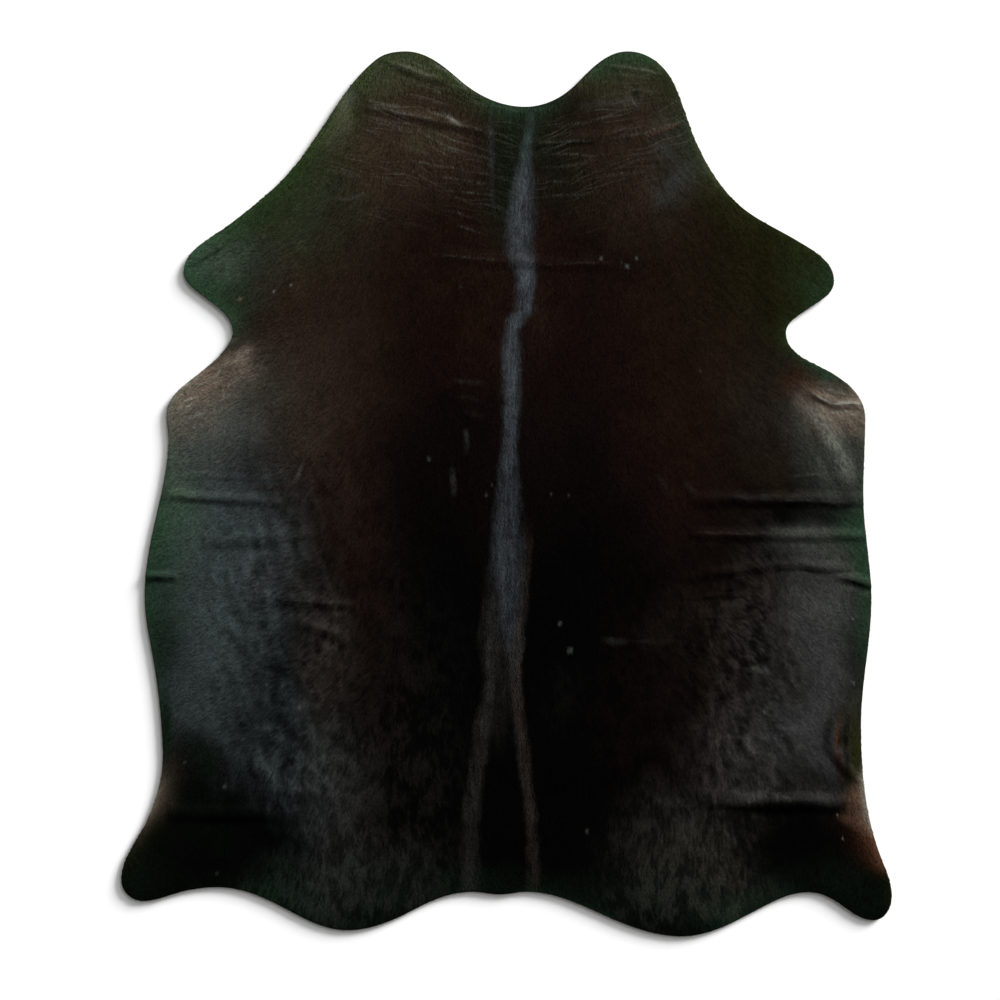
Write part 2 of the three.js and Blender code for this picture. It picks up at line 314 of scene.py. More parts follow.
def place_on_crease(crease, x, y):
    """How far each point is between the ends, 0 at both and 1 midway, and left of the crest."""
    run_x, run_y = crease.x2 - crease.x1, crease.y2 - crease.y1
    run = math.hypot(run_x, run_y)
    along = ((x - crease.x1) * run_x + (y - crease.y1) * run_y) / run ** 2
    rise = np.sin(np.pi * np.clip(along, 0, 1))
    across = ((y - crease.y1) * run_x - (x - crease.x1) * run_y) / run - crease.bow * rise
    return rise, across + CREASE_WANDER * (cloud(x, y, size=0.045, seed=61) - 0.5)


def lift_from_crease(crease, x, y):
    """How far one ridge lifts the skin: a rounded crest, a little uneven along its length."""
    rise, across = place_on_crease(crease, x, y)
    crest = 0.5 + 0.5 * np.cos(np.pi * np.clip(across / crease.half, -1, 1))
    uneven = 1 - CREASE_UNEVEN + 2 * CREASE_UNEVEN * cloud(x, y, size=0.05, seed=62)
    return crease.height * np.sqrt(rise) * crest * uneven


def lift(x, y, ridges=creases):
    """How far the skin stands off the floor."""
    return np.max([lift_from_crease(ridge, x, y) for ridge in ridges], axis=0)


def staggered_rows(step):
    """Points a step apart in staggered rows over the hide's box, each with its row and number."""
    row_step = step * math.sqrt(0.75)
    rows = math.ceil((hide_north - hide_south) / row_step)
    wide = math.ceil((hide_east - hide_west) / step)
    row, number = np.divmod(np.arange(rows * wide), wide)
    return hide_west + (number + (row % 2) / 2) * step, hide_south + row * row_step, row, number


def hide_plan(step, edge_step, ridges):
    """Flat triangles over the hide: corners a step apart, and half of that on the ridges."""
    edge = hide_edge(edge_step)
    x, y, row, number = staggered_rows(step / 2)
    wide_row = (row % 2 == 0) & ((number + row // 2 % 2) % 2 == 0)
    on_ridge = lift(x, y, [r._replace(half=r.half + step / 2, height=1) for r in ridges]) > 0
    x, y = x[wide_row | on_ridge], y[wide_row | on_ridge]
    inside = depth_in(x, y) > edge_step * ROOM_TO_EDGE
    points = np.vstack([edge, np.column_stack([x, y])[inside]])
    loop = [(i, (i + 1) % len(edge)) for i in range(len(edge))]
    corners, _, faces, _, _, _ = delaunay_2d_cdt(points.tolist(), loop, [], 1, 1e-7)
    return np.array(corners), faces


def skin_mesh(name, plan, heights):
    """A mesh over those flat triangles at those heights, shaded smooth and facing up."""
    corners, faces = plan
    mesh = bpy.data.meshes.new(name)
    mesh.from_pydata(np.column_stack([corners, heights]).tolist(), [], faces)
    mesh.shade_smooth()
    if mesh.polygons[0].normal.z < 0:
        mesh.flip_normals()
    return mesh


def noise(tree, place, scale, detail):
    """A noise pattern, from 0 to 1."""
    inputs = {"Vector": place, "Scale": scale, "Detail": detail}
    return add_node(tree, "ShaderNodeTexNoise", inputs).outputs["Fac"]


def spread(tree, value, low, high, lowest=0.0, highest=1.0):
    """A value that goes from lowest to highest while another goes from low to high."""
    return add_node(tree, "ShaderNodeMapRange", {
        "Value": value, "From Min": low, "From Max": high, "To Min": lowest, "To Max": highest,
    }).outputs["Result"]


def suede():
    """Pale tanned suede: beige, cloudy where the tan took unevenly, with a short soft nap."""
    material, tree, surface = new_material("suede of the flesh side")
    place = add_node(tree, "ShaderNodeTexCoord").outputs["Object"]
    colours = add_node(tree, "ShaderNodeValToRGB", {"Fac": noise(tree, place, scale=5, detail=6)})
    nap = noise(tree, place, scale=700, detail=3)
    for element, position, colour in zip(
            colours.color_ramp.elements, (0.3, 0.7), (SUEDE_DARK, SUEDE_LIGHT)):
        element.position = position
        element.color = colour
    worn = spread(tree, nap, low=0.3, high=0.7, lowest=0.82, highest=1.12)
    shade = add_node(tree, "ShaderNodeVectorMath", {
        "Vector": colours.outputs["Color"], "Scale": worn}, operation="SCALE")
    rough = spread(tree, nap, low=0, high=1, lowest=0.8)
    raised = add_node(tree, "ShaderNodeBump", {"Height": nap, "Strength": 0.4, "Distance": 0.0004})
    feed(tree, surface, {
        "Base Color": shade.outputs["Vector"], "Roughness": rough, "Normal": raised.outputs["Normal"],
        "Specular IOR Level": 0.2, "Sheen Weight": 0.2})
    return material


def apply_modifiers(piece):
    """Turns the piece's evaluated form into its plain mesh."""
    shaped = bpy.data.meshes.new_from_object(
        piece.evaluated_get(bpy.context.evaluated_depsgraph_get()))
    piece.modifiers.clear()
    piece.data = shaped


leather_plan = hide_plan(LEATHER_STEP, EDGE_STEP, creases)
leather_mesh = skin_mesh("hide_leather", leather_plan, lift(*leather_plan[0].T))
leather_mesh.materials.append(suede())
leather = add_object("hide_leather", leather_mesh)
thickness = leather.modifiers.new("leather", "SOLIDIFY")
thickness.thickness = LEATHER
thickness.offset = 1
apply_modifiers(leather)
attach(leather, "root")
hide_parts("hide")

# Coat: the short hair that grows from the skin, combed flat towards the tail and out over the
# flanks. It is one dark animal's: black and brown, blue-grey down the spine, grey on the flanks
# with painted sheen over it, green where it thins out at the edges, and paler in the armpits and
# on the thighs' rims. Painted highlights lie along its ridges and wrinkles, and painted shade in
# the hollows below them.
COAT_STEP = 0.009
COAT_EDGE_STEP = 0.006
COAT_DEPTH = 0.0018
COAT_DEPTH_AT_EDGE = 0.0012
RIM = 0.014
COAT_THINNEST = 0.0012
COAT_CLUMP = 0.0004
COAT_RUFFLE = 0.0040
COAT_FIBRES_PER_METRE = 900
COAT_FIBRE_RELIEF = 0.0004
HAIR_GLOSS = 0.01
# The flat coat lies in the shade of the locks, and that shade is painted: it shows this share of
# its tint, and up to so much more.
COAT_TONE = 0.45
COAT_TONE_MORE = 0.3
# Degrees by which the hair turns from the tail's way to the outside, and sways either way, and
# the share of that turn that is gone at the rump.
TURN_ON_LEFT_FLANK = -62
TURN_ON_RIGHT_FLANK = 46
HAIR_SWAY = 18
STRAIGHTER_ON_RUMP = 0.7
# How pale the neck's fine wrinkles are, worn and with painted highlight on their crests, and how
# wide their fine lines are.
NECK_WEAR_AND_HIGHLIGHT = 0.4
WRINKLE_WIDTH = 0.0021
# The worn lines across the neck lie in layers: how they slant to the spine, how many times
# longer than wide they are, and a number that sets each layer's own pattern.
WRINKLE_LAYERS = ((0.14, 30, 0.5), (0.44, 20, 7.5), (0.28, 26, 14.5))

# Fine wrinkles of the skin, too low for the CAD's solid.
wrinkles = [Crease(*row) for row in (
    ("neck, top left", -0.311, 1.126, -0.17, 1.074, 0.004, 0.0014, 0.006),
    ("neck, second left", -0.355, 1.006, -0.178, 0.967, 0.003, 0.0013, 0.006),
    ("neck, second left, on to the spine", -0.19, 0.968, -0.035, 0.936, 0.002, 0.001, 0.006),
    ("neck, third left", -0.256, 0.949, -0.121, 0.881, 0.004, 0.001, 0.006),
    ("neck, lower left", -0.23, 0.85, -0.03, 0.828, 0.003, 0.0008, 0.006),
    ("neck, low left", -0.152, 0.697, -0.005, 0.684, -0.003, 0.0008, 0.006),
    ("neck, top right", 0.241, 1.115, 0.417, 1.089, -0.003, 0.001, 0.006),
    ("neck, second right", 0.07, 0.913, 0.246, 0.918, -0.002, 0.001, 0.006),
    ("neck, second right, outer", 0.24, 0.936, 0.449, 0.962, -0.004, 0.0013, 0.007),
    ("neck, third right", 0.069, 0.809, 0.192, 0.822, 0.002, 0.0008, 0.006),
    ("neck, low right", 0.074, 0.599, 0.277, 0.593, 0.002, 0.0008, 0.006),
    ("shoulder, left", -0.459, 0.764, -0.368, 0.78, -0.01, 0.001, 0.008),
    ("left armpit, upper", -0.815, 0.273, -0.773, 0.291, 0.003, 0.0015, 0.006),
    ("left armpit, lower", -0.773, 0.291, -0.745, 0.325, -0.004, 0.0015, 0.006),
    ("left armpit, folded skin", -0.711, 0.352, -0.655, 0.372, 0.004, 0.0017, 0.007),
    ("right armpit, inner", 0.797, 0.26, 0.849, 0.231, -0.004, 0.0015, 0.006),
    ("right armpit, outer", 0.849, 0.231, 0.919, 0.231, 0.003, 0.0015, 0.006),
    ("right chest, faint", 0.731, 0.042, 0.828, 0.049, 0.003, 0.0008, 0.007),
    ("right belly, upper", 0.664, -0.185, 0.764, -0.182, 0.002, 0.001, 0.007),
    ("right belly, lower", 0.866, -0.218, 0.945, -0.239, 0, 0.0013, 0.007),
    ("right belly, inner", 0.454, -0.273, 0.646, -0.257, 0.003, 0.0008, 0.007),
    ("right belly, short", 0.484, -0.324, 0.638, -0.324, 0, 0.0007, 0.007),
    ("left chest, faint", -0.66, 0.012, -0.56, 0.011, 0, 0.001, 0.007),
    ("left belly, low", -0.585, -0.276, -0.396, -0.291, 0, 0.0008, 0.007),
    ("left belly, short", -0.542, -0.333, -0.48, -0.343, 0, 0.0008, 0.007),
    ("left belly, upright", -0.532, 0.068, -0.547, 0.031, 0, 0.0008, 0.006),
)]

# Hair tones as they look on a screen, from 0 to 255. Grey, sheen and mist, where patches lay
# them on the flanks, are partly painted sheen. Strokes also use these tones for painted
# highlight and painted shade.
hair_tones = {
    "black": (2, 2, 2),
    "brown": (26, 16, 12),
    "tan": (49, 40, 30),
    "moss": (38, 39, 15),
    "olive": (61, 61, 43),
    "grey": (54, 61, 61),
    "ash": (50, 48, 45),
    "dun": (52, 45, 40),
    "sheen": (58, 59, 60),
    "mist": (80, 84, 76),
    "green": (46, 72, 52),
    "pine": (12, 22, 13),
    "leaf": (43, 61, 32),
    "straw": (86, 88, 66),
    "pale": (120, 107, 94),
    "rust": (70, 40, 22),
    "tawny": (100, 74, 58),
    "stripe": (65, 71, 76),
    "worn": (128, 130, 120),
    "chestnut": (40, 20, 15),
}

# A patch is a soft ellipse of one tone: its middle, half its width and length, its turn, how
# soft its rim is, how fully it covers, how far that is broken up by tufts, and, for hair that
# only grows at the hide's edge, how far in from there it reaches.
Patch = namedtuple("Patch", "tone x y wide long turn soft much mottled rim", defaults=(0,))
patches = [Patch(*row) for row in (
    # The brown of the back and shoulders, and the tan and olive of the neck.
    ("brown", 0, 0.5, 0.76, 0.62, 0, 0.35, 1, 0.15),
    ("brown", -0.46, -0.06, 0.12, 0.34, 6, 0.7, 0.65, 0.2),
    ("brown", 0.48, -0.22, 0.17, 0.42, 0, 0.6, 0.55, 0.3),
    ("tan", -0.26, 0.94, 0.21, 0.17, 15, 0.7, 0.95, 0.2),
    ("tan", 0.36, 0.9, 0.17, 0.2, 0, 0.7, 0.8, 0.2),
    ("olive", -0.27, 1.1, 0.15, 0.06, 0, 0.6, 0.8, 0.2),
    ("olive", 0.32, 1.09, 0.14, 0.08, 0, 0.6, 0.5, 0.25),
    ("olive", -0.2, 0.93, 0.06, 0.04, 0, 0.9, 0.3, 0.3),
    ("olive", 0.47, 0.92, 0.06, 0.11, 8, 0.8, 0.22, 0.25),
    ("tan", -0.54, 0.41, 0.2, 0.2, -30, 0.8, 0.34, 0.2),
    ("dun", -0.62, 0.22, 0.14, 0.18, 0, 0.8, 0.45, 0.2),
    ("olive", -0.51, 0.69, 0.17, 0.12, 40, 0.9, 0.23, 0.2),
    ("green", -0.52, 0.72, 0.1, 0.07, 40, 0.9, 0.22, 0.3),
    ("grey", -0.68, 0.6, 0.07, 0.07, 0, 0.9, 0.2, 0.2),
    ("moss", 0.68, 0.55, 0.2, 0.18, -25, 0.9, 0.32, 0.15),
    ("tan", 0.64, 0.24, 0.14, 0.22, 0, 0.8, 0.15, 0.3),
    ("tan", 0.69, 0.06, 0.06, 0.05, 0, 0.9, 0.3, 0.2),
    ("pine", 0, 0.86, 0.05, 0.18, 0, 0.8, 0.75, 0.1),
    ("pine", 0.12, 0.88, 0.06, 0.14, 0, 0.9, 0.5, 0.1),
    ("chestnut", -0.12, 0.36, 0.1, 0.16, 0, 0.9, 0.45, 0.7),
    ("rust", -0.08, 0.43, 0.03, 0.03, 0, 0.9, 0.12, 0.5),
    ("chestnut", 0.34, 0.2, 0.16, 0.24, 0, 0.9, 0.22, 0.5),
    ("dun", -0.44, 0.08, 0.1, 0.18, 0, 0.9, 0.18, 0.8),
    ("chestnut", 0.12, 0.44, 0.08, 0.2, 0, 0.9, 0.35, 0.6),
    ("dun", 0.08, 0.44, 0.03, 0.08, 0, 0.9, 0.15, 0.5),
    # The black of the spine, the loins and the rump.
    ("black", 0.22, 0.56, 0.1, 0.4, 0, 0.9, 0.3, 0.1),
    ("black", -0.16, 0.06, 0.17, 0.36, 0, 0.8, 0.75, 0.1),
    ("black", 0.16, 0.08, 0.18, 0.36, 0, 0.8, 0.6, 0.1),
    ("black", 0.22, -0.3, 0.22, 0.34, 8, 0.6, 0.85, 0.1),
    ("black", -0.17, -0.32, 0.12, 0.38, -6, 0.7, 0.65, 0.1),
    # The grey of the left flank, the hair's own grey with painted sheen over it, whole outside and
    # broken into tufts inside.
    ("grey", -0.79, -0.1, 0.14, 0.32, 0, 0.7, 0.8, 0.15),
    ("grey", -0.78, -0.44, 0.11, 0.23, 4, 0.7, 0.48, 0.25),
    ("grey", -0.62, -0.18, 0.1, 0.21, 0, 0.7, 0.42, 0.5),
    ("sheen", -0.61, -0.19, 0.05, 0.09, 0, 0.9, 0.3, 0.4),
    ("grey", -0.61, -0.35, 0.05, 0.07, 0, 0.9, 0.35, 0.5),
    ("grey", -0.57, -0.53, 0.05, 0.06, 0, 0.9, 0.35, 0.4),
    ("ash", -0.48, -0.32, 0.055, 0.12, 0, 0.8, 0.5, 0.6),
    ("dun", -0.475, -0.48, 0.06, 0.12, 0, 0.8, 0.42, 0.6),
    ("grey", -0.54, -0.69, 0.11, 0.2, 18, 0.7, 0.42, 0.6),
    ("ash", -0.43, -0.82, 0.09, 0.22, 4, 0.7, 0.38, 0.6),
    ("ash", -0.24, -0.82, 0.12, 0.26, 0, 0.8, 0.07, 0.9),
    ("ash", -0.27, -0.6, 0.12, 0.36, 0, 0.9, 0.1, 0.9),
    ("brown", -0.33, -0.34, 0.08, 0.26, 0, 0.9, 0.4, 0.6),
    ("black", -0.5, -0.57, 0.025, 0.04, 0, 0.9, 0.3, 0.6),
    ("ash", -0.3, -0.97, 0.1, 0.06, 0, 0.9, 0.18, 0.6),
    ("ash", 0.14, -0.54, 0.05, 0.07, 0, 0.9, 0.05, 0.8),
    ("grey", -0.84, -0.56, 0.06, 0.08, 0, 0.7, 0.48, 0.2),
    ("grey", -0.67, -0.7, 0.08, 0.05, -35, 0.7, 0.22, 0.4),
    # The same on the right, where the grey, sheen and mist patches are partly painted sheen too.
    ("ash", 0.84, -0.42, 0.12, 0.28, 4, 0.5, 0.8, 0.1),
    ("ash", 0.86, 0.06, 0.1, 0.18, 8, 0.7, 0.2, 0.12),
    ("ash", 0.66, -0.42, 0.12, 0.3, -4, 0.6, 0.5, 0.8),
    ("dun", 0.66, -0.28, 0.07, 0.06, 0, 0.9, 0.35, 0.6),
    ("dun", 0.48, -0.35, 0.08, 0.1, 0, 0.9, 0.18, 0.6),
    ("ash", 0.64, -0.66, 0.15, 0.12, 0, 0.7, 0.7, 0.5),
    ("brown", 0.4, -0.48, 0.16, 0.3, 0, 0.9, 0.25, 0.8),
    ("sheen", 0.81, -0.46, 0.055, 0.28, 4, 0.8, 0.65, 0.1),
    ("mist", 0.82, -0.27, 0.08, 0.05, 0, 0.8, 0.28, 0.1),
    ("grey", 0.89, -0.33, 0.04, 0.06, 0, 0.8, 0.35, 0.1),
    # Painted shade in the hollow between the right flank's first two ridges.
    ("black", 0.77, -0.055, 0.1, 0.028, 0, 0.8, 0.3, 0.2),
    ("black", 0.79, -0.735, 0.09, 0.036, -10, 0.9, 0.68, 0.2),
    ("sheen", 0.71, -0.63, 0.07, 0.08, 0, 0.9, 0.5, 0.3),
    ("ash", 0.74, -0.762, 0.11, 0.028, 0, 0.8, 0.5, 0.2),
    ("moss", 0.91, -0.66, 0.035, 0.13, 0, 0.7, 0.5, 0.1),
    ("pine", 0.93, -0.45, 0.04, 0.16, 0, 0.9, 0.55, 0),
    ("ash", 0.5, -0.93, 0.18, 0.13, 0, 0.8, 0.46, 0.7),
    ("olive", 0.52, -0.96, 0.15, 0.09, 0, 0.9, 0.13, 0.7),
    ("ash", 0.5, -0.78, 0.12, 0.06, 0, 0.8, 0.15, 0.7),
    ("mist", 0.88, -0.19, 0.06, 0.05, -20, 0.8, 0.36, 0.15),
    ("mist", 0.81, -0.13, 0.09, 0.04, 0, 0.7, 0.36, 0.1),
    ("grey", 0.45, 0.86, 0.06, 0.12, -20, 0.9, 0.35, 0.4),
    # The black hind legs.
    ("black", -0.8, -0.93, 0.26, 0.11, 0, 0.4, 0.95, 0.1),
    ("black", -0.78, -0.83, 0.08, 0.05, 0, 0.6, 0.85, 0.1),
    ("black", -0.92, -1, 0.12, 0.12, 0, 0.6, 0.9, 0.1),
    ("black", 0.82, -0.95, 0.19, 0.11, 0, 0.35, 0.95, 0.1),
    ("black", 0.95, -1.04, 0.12, 0.12, 0, 0.6, 0.95, 0.1),
    ("pine", -0.8, -0.84, 0.12, 0.08, 0, 0.8, 0.2, 0.1),
    ("black", -0.8, -0.7, 0.045, 0.05, 0, 0.8, 0.55, 0.1),
    ("pine", -0.8, -0.7, 0.045, 0.05, 0, 0.8, 0.3, 0.1),
    # The green of the thin hair along the edges.
    ("green", -0.83, 0.58, 0.13, 0.11, 20, 0.8, 0.7, 0.2),
    ("mist", -0.76, 0.62, 0.07, 0.06, 20, 0.9, 0.38, 0.2),
    ("green", -0.78, 0.56, 0.2, 0.18, 30, 0.6, 0.8, 0.1, 0.025),
    ("green", -0.72, 0.68, 0.12, 0.06, 52, 0.8, 0.45, 0.1, 0.03),
    ("green", -0.7, 0.48, 0.1, 0.05, 0, 0.9, 0.4, 0.2, 0.03),
    ("leaf", -0.52, 0.84, 0.34, 0.1, 52, 0.6, 0.88, 0.1, 0.044),
    ("straw", -0.43, 1.01, 0.03, 0.04, -20, 0.9, 0.7, 0.2),
    ("mist", -0.41, 1.04, 0.03, 0.03, 0, 0.9, 0.4, 0.1),
    ("straw", -0.46, 0.94, 0.04, 0.04, -20, 0.9, 0.3, 0.2),
    ("straw", -0.25, 1.13, 0.18, 0.07, 0, 0.8, 0.4, 0.2, 0.008),
    ("leaf", -0.24, 1.13, 0.22, 0.07, 0, 0.6, 0.45, 0, 0.025),
    ("leaf", -0.11, 1.06, 0.12, 0.06, -30, 0.8, 0.5, 0.2, 0.035),
    ("green", 0.03, 0.99, 0.12, 0.05, 0, 0.8, 0.6, 0, 0.02),
    ("green", 0.06, 0.94, 0.05, 0.09, 0, 0.9, 0.08, 0.5),
    ("straw", 0.21, 1.1, 0.05, 0.08, -30, 0.8, 0.35, 0.2, 0.008),
    ("straw", 0.46, 1.02, 0.08, 0.2, 14, 0.8, 0.3, 0.2, 0.008),
    ("leaf", 0.31, 1.13, 0.22, 0.07, 0, 0.6, 0.5, 0, 0.03),
    ("green", 0.32, 1.13, 0.16, 0.05, 0, 0.8, 0.6, 0.1, 0.04),
    ("leaf", 0.47, 0.98, 0.08, 0.22, 10, 0.6, 0.35, 0, 0.035),
    ("straw", 0.53, 0.84, 0.04, 0.06, 20, 0.8, 0.8, 0, 0.008),
    ("leaf", 0.66, 0.7, 0.3, 0.1, -38, 0.6, 0.32, 0, 0.02),
    ("moss", 0.68, 0.68, 0.2, 0.06, -38, 0.8, 0.38, 0.1),
    ("leaf", 0.81, 0.56, 0.09, 0.11, 0, 0.9, 0.2, 0.1),
    ("green", 0.84, 0.54, 0.06, 0.07, 0, 0.9, 0.35, 0.1),
    ("leaf", 0.73, 0.42, 0.07, 0.06, -30, 0.8, 0.75, 0.1, 0.025),
    ("green", -0.92, -0.04, 0.09, 0.22, 2, 0.9, 0.75, 0.1),
    ("pine", -0.94, -0.33, 0.09, 0.26, 0, 0.9, 0.55, 0),
    ("green", -0.94, -0.3, 0.05, 0.34, 2, 0.7, 0.45, 0, 0.02),
    ("pine", -0.9, -0.6, 0.04, 0.08, 0, 0.8, 0.9, 0, 0.022),
    ("green", 0.96, -0.08, 0.05, 0.32, 0, 0.7, 0.58, 0),
    ("green", 0.91, -0.1, 0.05, 0.06, 0, 0.8, 0.35, 0.1),
    ("pine", -0.44, -1.07, 0.34, 0.11, 0, 0.6, 0.7, 0.5),
    ("grey", -0.46, -1, 0.15, 0.08, 0, 0.9, 0.16, 0.9),
    ("ash", -0.36, -1.04, 0.18, 0.08, 0, 0.9, 0.2, 0.95),
    ("green", -0.6, -1.05, 0.09, 0.06, 0, 0.6, 0.16, 0.6, 0.04),
    ("pine", 0, -1.03, 0.26, 0.05, 0, 0.6, 0.3, 0),
    ("green", 0.08, -1.03, 0.05, 0.03, 0, 0.6, 0.2, 0, 0.008),
    ("green", 0.22, -1.07, 0.08, 0.04, 0, 0.6, 0.3, 0, 0.008),
    ("pine", 0.36, -1.07, 0.24, 0.07, 0, 0.6, 0.55, 0.6),
    ("ash", 0.46, -1.06, 0.15, 0.07, 0, 0.9, 0.34, 0.95),
    ("green", 0.62, -1.08, 0.13, 0.05, 20, 0.7, 0.16, 0.2),
    ("black", -0.95, -0.99, 0.12, 0.12, 0, 0.6, 0.6, 0),
    ("pine", -0.95, -1, 0.09, 0.08, 0, 0.8, 0.3, 0),
    ("pine", 0.9, -1.06, 0.14, 0.1, 0, 0.6, 0.35, 0),
    # The thin pale hair of the armpits and of the thighs' rims.
    ("mist", -0.84, 0.18, 0.1, 0.12, 10, 0.8, 0.38, 0.15),
    ("mist", -0.87, 0.05, 0.05, 0.07, 0, 0.9, 0.28, 0.1),
    ("mist", -0.7, 0.26, 0.1, 0.1, 0, 0.9, 0.35, 0.2),
    ("pale", -0.81, 0.27, 0.12, 0.08, 38, 0.8, 0.55, 0.4),
    ("pale", -0.7, 0.315, 0.07, 0.06, 38, 0.8, 0.26, 0.3),
    ("tawny", -0.8, 0.275, 0.09, 0.04, 38, 0.8, 0.3, 0.3),
    ("brown", -0.72, 0.39, 0.04, 0.03, 30, 0.8, 0.5, 0.2),
    ("pale", -0.675, 0.355, 0.035, 0.022, 30, 0.7, 0.3, 0.3),
    ("worn", -0.87, 0.25, 0.06, 0.06, 30, 0.7, 0.5, 0.1, 0.015),
    ("green", -0.9, 0.13, 0.04, 0.08, 0, 0.8, 0.5, 0.1, 0.015),
    ("dun", 0.7, 0.24, 0.1, 0.12, 0, 0.8, 0.35, 0.3),
    ("mist", 0.84, 0.14, 0.08, 0.13, 8, 0.8, 0.5, 0.15),
    ("mist", 0.84, 0.06, 0.04, 0.03, 0, 0.9, 0.35, 0.1),
    ("pale", 0.82, 0.18, 0.04, 0.05, 0, 0.9, 0.25, 0.2),
    ("pale", 0.89, 0.23, 0.09, 0.06, -16, 0.7, 0.8, 0.3),
    ("rust", 0.78, 0.28, 0.05, 0.05, -40, 0.7, 0.45, 0.3),
    ("mist", 0.85, 0.12, 0.02, 0.13, 22, 0.8, 0.3, 0.2),
    ("green", 0.82, 0.33, 0.07, 0.04, -30, 0.8, 0.75, 0.1, 0.024),
    ("tawny", 0.925, -0.815, 0.03, 0.045, 14, 0.8, 0.65, 0.2),
    ("tawny", 0.9, -0.775, 0.03, 0.025, 0, 0.8, 0.4, 0.2),
    ("rust", 0.93, -0.88, 0.1, 0.09, 20, 0.6, 0.95, 0.2, 0.027),
    ("tawny", 0.94, -0.86, 0.1, 0.1, 20, 0.6, 0.9, 0.2, 0.012),
    ("pale", 0.93, -0.8, 0.08, 0.06, 20, 0.7, 0.8, 0.1, 0.012),
    ("worn", 0.93, -0.79, 0.08, 0.06, 20, 0.7, 0.8, 0.1, 0.008),
    ("moss", 0.93, -0.67, 0.06, 0.06, 0, 0.6, 0.5, 0.1, 0.02),
    ("moss", 0.98, -1.02, 0.06, 0.06, 0, 0.6, 0.5, 0.1, 0.01),
    ("moss", -0.9, -0.84, 0.1, 0.13, -20, 0.6, 0.6, 0.1, 0.018),
    ("dun", -0.94, -0.85, 0.05, 0.06, -20, 0.6, 0.7, 0.1, 0.012),
    ("dun", -0.9, -0.76, 0.05, 0.08, 0, 0.7, 0.8, 0.1, 0.035),
    ("pale", -0.92, -0.8, 0.1, 0.06, -20, 0.7, 0.6, 0.1, 0.01),
    ("pale", -0.86, 0.25, 0.1, 0.1, 30, 0.7, 0.35, 0.1, 0.018),
)]

